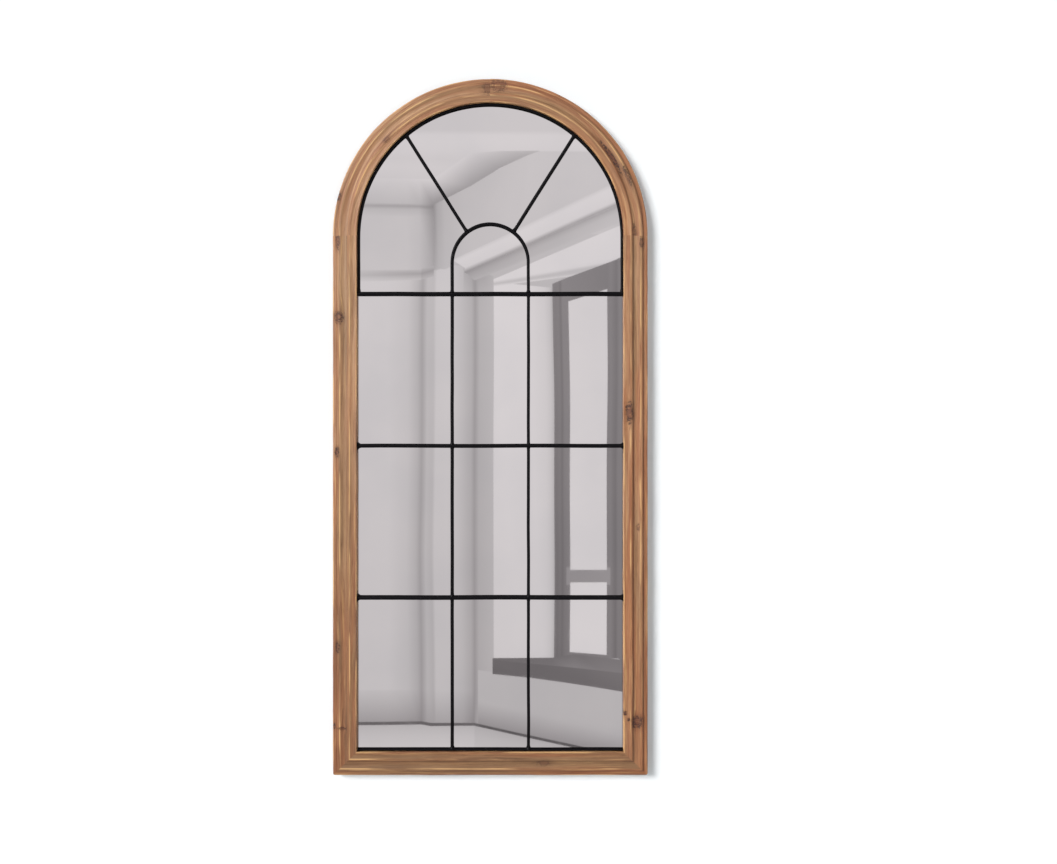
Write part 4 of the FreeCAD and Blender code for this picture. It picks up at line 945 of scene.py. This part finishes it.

# What the mirror faces: a card that only reflections see, which glows with the far end of a plain
# pale room painted on it in soft shades. Its light and shade are painted too, so the mirror shows
# a painted reflection. The room has a ceiling with a bulkhead on the left and two beams on the
# right, a pilaster and a pier, and a window with a deep sill.
# Each shade is a brightness in 255ths. A shape is a row of rungs, each from one point
# to another, with their places in the pane in millimetres and their shades.
ROOM_DISTANCE, LAYER_STEP = 3.7, 0.002
FAR = 2900
LIT, PALE, SOFT, MID, DIM = 212, 203, 192, 182, 160
TRIM, DARK, SILL, LINE = 142, 126, 108, 92
ROOM = [
    [(-FAR, 4000, PALE, FAR, 4000, PALE), (-FAR, 1455, PALE, FAR, 1452, PALE),
     (-FAR, 1444, LIT, FAR, 1441, LIT), (-FAR, 1408, LIT - 4, FAR, 1408, LIT),
     (-FAR, 1370, LIT, FAR, 1370, PALE), (-FAR, 1287, SOFT, FAR, 1287, SOFT),
     (-FAR, 1100, MID, FAR, 1100, SOFT), (-FAR, -4000, MID, FAR, -4000, SOFT)],
    # The left wall, with a pilaster at its corner, from the bulkhead down to the floor
    [(-FAR, 1129, PALE + 4, -FAR, 190, SOFT + 4), (-230, 1129, PALE + 4, -230, 190, SOFT + 4),
     (-185, 1129, PALE - 2, -188, 190, MID + 6), (-163, 1130, MID + 4, -166, 190, MID - 8),
     (-153, 1131, DIM + 10, -157, 190, DIM - 2)],
    [(-153, 1131, DIM + 10, -157, 190, DIM - 2), (-142, 1133, SOFT, -144, 190, MID),
     (-128, 1137, SOFT, -130, 190, MID - 6), (-122, 1138, PALE + 2, -124, 190, SOFT),
     (-95, 1150, PALE + 4, -96, 190, SOFT), (-62, 1148, SOFT, -62, 190, MID),
     (-44, 1144, MID, -44, 190, MID - 12), (-36, 1141, DIM + 4, -36, 190, DIM - 6)],
    [(-FAR, 190, SOFT, -FAR, 116, DIM), (-230, 190, SOFT, -230, 116, DIM - 4),
     (-188, 190, MID + 4, -188, 116, DIM - 8), (-166, 190, MID - 8, -166, 116, DIM - 14),
     (-157, 190, DIM - 2, -157, 116, DIM - 22), (-144, 190, MID, -144, 116, DIM),
     (-130, 190, MID - 6, -130, 115, DIM), (-124, 190, SOFT, -124, 114, DIM + 4),
     (-96, 190, SOFT, -96, 114, DIM + 6), (-62, 190, MID, -62, 113, DIM),
     (-44, 190, MID - 12, -44, 113, DIM - 14), (-36, 190, DIM - 6, -36, 113, DIM - 22)],
    # The wall beside the window, and the pier before it
    [(-36, 1141, DIM + 4, -36, 113, DIM - 10), (-26, 1137, MID + 2, -26, 112, MID - 12),
     (6, 1123, MID + 8, 8, 106, MID - 4)],
    [(-62, 1150, MID - 6, -62, 1080, SOFT - 1), (-44, 1145, DIM + 6, -44, 1080, MID - 1),
     (-36, 1141, DIM - 4, -36, 1080, DIM + 3), (-26, 1137, DIM + 6, -26, 1080, MID + 1),
     (6, 1124, MID, 6, 1080, MID + 7)],
    [(6, 1110, LIT + 6, 8, 106, PALE - 2), (80, 1104, LIT + 4, 80, 90, PALE),
     (124, 1100, PALE + 4, 124, 80, PALE), (136, 1099, SOFT + 6, 136, 75, SOFT + 4),
     (143, 1098, MID, 143, 75, MID), (FAR, 1100, PALE, FAR, -520, PALE)],
    [(-28, 236, MID + 1, FAR, -177, MID + 4), (-28, 165, MID, FAR, -390, MID + 2),
     (-28, 112, DIM - 12, FAR, -530, DIM - 8)],
    # The floor, and the dark line where the walls meet it
    [(-FAR, 115, MID + 8, -36, 113, MID), (-FAR, 90, SOFT + 6, -36, 88, SOFT),
     (-FAR, 55, PALE + 4, -36, 55, SOFT + 8), (-FAR, -4000, PALE, -36, -4000, PALE)],
    [(-36, 113, MID - 6, FAR, -530, MID), (-36, 88, SOFT - 6, FAR, -600, SOFT),
     (-36, 50, SOFT + 2, FAR, -650, SOFT), (-36, -4000, PALE, FAR, -4000, PALE)],
    [(-FAR, 120, LINE + 20, -157, 121, LINE + 10), (-FAR, 113, LINE + 20, -157, 114, LINE + 10)],
    [(-157, 121, LINE + 10, -135, 117, LINE + 10), (-157, 114, LINE + 10, -135, 110, LINE + 10)],
    [(-135, 117, LINE + 10, -36, 116, LINE + 10), (-135, 110, LINE + 10, -36, 110, LINE + 10)],
    [(-36, 116, LINE, FAR, -524, LINE), (-36, 110, LINE, FAR, -534, LINE)],
    # The bulkhead on the left, the ceiling over it with the painted shade of its soft fold, and
    # the soffit
    [(-FAR, 1262, SOFT + 7, -FAR, 1129, PALE - 2), (-190, 1262, SOFT + 6, -190, 1130, PALE - 4),
     (-163, 1262, SOFT + 3, -163, 1132, SOFT + 2), (-131, 1262, DIM - 2, -130, 1138, DIM + 12)],
    [(-131, 1288, DIM - 10, -130, 1138, DIM + 10), (-122, 1293, MID - 8, -120, 1141, MID + 2),
     (-106, 1302, MID + 4, -104, 1140, SOFT), (-60, 1328, SOFT, -60, 1160, SOFT + 4),
     (82, 1400, SOFT + 7, 20, 1200, SOFT + 6), (100, 1408, SOFT + 9, 60, 1220, SOFT + 6),
     (FAR, 1408, SOFT + 9, FAR, 1220, SOFT + 6)],
    [(-FAR, 1345, PALE + 5, -FAR, 1287, SOFT), (-190, 1345, PALE + 5, -190, 1287, SOFT - 2),
     (-160, 1345, PALE + 7, -160, 1287, MID), (-131, 1345, LIT, -131, 1288, DIM - 8),
     (-45, 1404, LIT - 2, -45, 1331, DIM + 2), (22, 1408, SOFT + 4, 22, 1371, DIM + 4),
     (85, 1409, MID + 6, 85, 1399, DIM + 14), (112, 1409, MID + 4, 112, 1408, MID + 4)],
    [(-330, 1289, MID + 4, -163, 1289, MID), (-330, 1284, DIM + 10, -163, 1284, DIM + 4),
     (-330, 1277, MID + 8, -163, 1277, MID + 4), (-330, 1262, SOFT + 7, -163, 1262, SOFT + 3)],
    [(-163, 1289, MID, -131, 1289, DIM - 8), (-163, 1284, DIM + 4, -131, 1284, DIM - 16),
     (-163, 1277, MID + 4, -131, 1277, DIM - 8), (-163, 1262, SOFT + 3, -131, 1262, DIM - 2)],
    [(-330, 1142, SOFT + 8, -157, 1140, MID + 4), (-330, 1128, MID + 8, -157, 1131, DIM + 6),
     (-330, 1114, PALE + 4, -157, 1117, SOFT + 2)],
    [(-157, 1142, MID, -129, 1148, MID), (-157, 1131, DIM, -129, 1138, DIM),
     (-157, 1117, MID, -129, 1124, MID + 4)],
    # The two beams on the right, each with a bright face and a shaded side
    [(-89, 1161, PALE + 2, FAR, 2600, LIT + 6), (-80, 1157, LIT + 3, FAR, 2585, LIT + 6),
     (-60, 1143, LIT, FAR, 2480, LIT + 3)],
    [(-60, 1143, LIT, FAR, 2480, LIT + 3), (-60, 1132, DIM - 6, FAR, 2461, DIM + 6)],
    [(-60, 1132, DIM - 6, 330, 1306, DIM + 6), (-50, 1127, DIM + 8, 330, 1297, MID + 3),
     (-46, 1121, MID - 8, 330, 1288, SOFT + 2), (-37, 1114, MID, 330, 1262, SOFT + 6)],
    [(6, 1117, LIT + 4, FAR, 2360, LIT + 4), (6, 1113, LIT + 4, FAR, 1700, LIT + 4),
     (6, 1106, MID + 10, FAR, 1600, MID), (6, 1100, LIT + 4, FAR, 1500, PALE)],
    # The window: its frame, two lights, the sill's top and the sill's face
    [(143, 1107, DARK + 6, 143, 262, DARK), (149, 1110, DARK + 6, 149, 262, DARK - 14),
     (156, 1113, DARK + 8, 156, 262, DARK - 8), (161, 1115, DARK - 2, 161, 262, DARK - 14),
     (165, 1117, TRIM - 4, 165, 262, DARK - 8), (178, 1122, TRIM - 4, 178, 262, DARK),
     (264, 1154, DARK + 6, 264, 262, DARK), (272, 1157, DARK + 10, 272, 262, DARK + 4),
     (284, 1162, DARK, 284, 262, DARK - 12), (290, 1165, DARK + 10, 290, 262, DARK),
     (330, 1182, DARK, 330, 240, DARK - 6)],
    [(330, 1182, PALE, 330, 180, PALE), (FAR, 1600, SOFT, FAR, -180, SOFT)],
    [(170, 470, TRIM + 4, 170, 430, TRIM + 4), (272, 470, TRIM + 8, 272, 430, TRIM + 8)],
    [(179, 1068, LIT, 179, 464, LIT), (264, 1096, LIT, 264, 464, LIT - 2)],
    [(179, 436, LIT, 179, 277, LIT), (264, 436, LIT, 264, 270, LIT)],
    [(5, 264, SILL + 2, 5, 256, SILL + 2), (140, 264, SILL + 8, 140, 243, SILL + 12),
     (190, 272, SILL + 8, 190, 237, SILL + 26), (262, 263, SILL + 14, 262, 229, SILL + 20),
     (FAR, 0, SILL, FAR, -14, SILL)],
    [(5, 260, SILL, 5, 227, SILL - 4), (88, 251, SILL, 88, 218, SILL),
     (297, 229, SILL + 10, 297, 187, SILL + 4), (FAR, -16, SILL, FAR, -181, SILL)],
]
ROOM_TINT, ROOM_DEEP_TINT = (1.0, 0.960, 0.975), (1.0, 0.920, 0.950)


def painted_room():
    """The card's corners lie where the camera sees them by way of the pane: as far out
    from its own line as their places in the pane, times the ratio of the two distances
    from it. Each shape lies a little nearer than the one before. A shade becomes light
    by the standard curve, and the darker it is, the more of the deep tint it takes."""
    pane_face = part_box("mirror_pane")[0].y
    to_pane = CAMERA_DISTANCE - cad_box[0].y + pane_face
    rungs = np.array([rung for shape in ROOM for rung in shape], float).reshape(-1, 3)
    layer = np.repeat(np.arange(len(ROOM)), [2 * len(shape) for shape in ROOM])
    y = LAYER_STEP * layer - ROOM_DISTANCE
    spread = 1 + (pane_face - y) / to_pane
    x = CAMERA_X + (rungs[:, 0] / 1000 - CAMERA_X) * spread
    z = CAMERA_Z + (rungs[:, 1] / 1000 - CAMERA_Z) * spread
    first = np.arange(0, len(rungs) - 2, 2)
    first = first[layer[first] == layer[first + 2]]
    quads = np.stack([first, first + 1, first + 3, first + 2], axis=1)
    room = card("painted_room", np.stack([x, y, z], axis=1).tolist(), quads.tolist())
    shade = ((rungs[:, 2:] / 255 + 0.055) / 1.055) ** 2.4
    deep = np.clip((MID - rungs[:, 2:]) / (MID - SILL), 0, 1)
    tint = np.asarray(ROOM_TINT) * (1 - deep) + np.asarray(ROOM_DEEP_TINT) * deep
    colours = np.hstack([shade * tint, np.ones_like(shade)])
    layer = room.data.attributes.new("shade", "FLOAT_COLOR", "POINT")
    layer.data.foreach_set("color", colours.astype(np.float32).ravel())
    material, n = new_material("painted_room")
    n.output(n.add("ShaderNodeEmission", None, {"Color": n.attribute("shade", "Color"),
                                                "Strength": 1 / SILVER[0]}))
    paint(room, material)
    room.visible_camera = room.visible_diffuse = room.visible_shadow = False


painted_room()

# One broad lamp high on the left, as far away as a window, a faint one on the right to
# soften it, and two behind for the back. A sun's strength is in watts per square metre,
# and an area lamp's in watts.
KEY_LIGHT, FILL_LIGHT, BACK_LEFT_LIGHT, BACK_RIGHT_LIGHT = 3.05, 0.55, 45, 30
LAMP_SIZE = 1.6
AIR_LIGHT = 0.20


def lamp(kind, name, place, aim, strength, **settings):
    """A lamp that faces its aim. It isn't seen in the mirror itself."""
    light = bpy.data.lights.new(name, kind)
    light.energy = strength
    for setting, value in settings.items():
        setattr(light, setting, value)
    light.cycles.use_multiple_importance_sampling = False
    body = new_object(name, light)
    back = np.array(place) - np.array(aim)
    body.location = place
    body.rotation_euler = (math.acos(back[2] / np.linalg.norm(back)), 0,
                           math.atan2(back[0], -back[1]))


middle = (0, 0, CAMERA_Z)
lamp("SUN", "key", (-2.5, -2.8, CAMERA_Z + 1.45), middle, KEY_LIGHT, angle=0.50)
lamp("SUN", "fill", (2.6, -2.8, CAMERA_Z - 0.9), middle, FILL_LIGHT, angle=0.9)
lamp("AREA", "back_left", (-2.0, 2.6, 2.4), middle, BACK_LEFT_LIGHT, size=LAMP_SIZE)
lamp("AREA", "back_right", (2.4, 2.2, 1.6), middle, BACK_RIGHT_LIGHT, size=LAMP_SIZE)

world = bpy.data.worlds.new("studio")
world.use_nodes = True
n = Nodes(world.node_tree)
air = AIR_LIGHT + seen_directly(n) * (1 - AIR_LIGHT)
n.output(n.add("ShaderNodeBackground", None, {"Color": (1.0, 1.0, 1.0), "Strength": air}),
         "World")
bpy.context.scene.world = world
bpy.context.scene.view_settings.view_transform = "Standard"
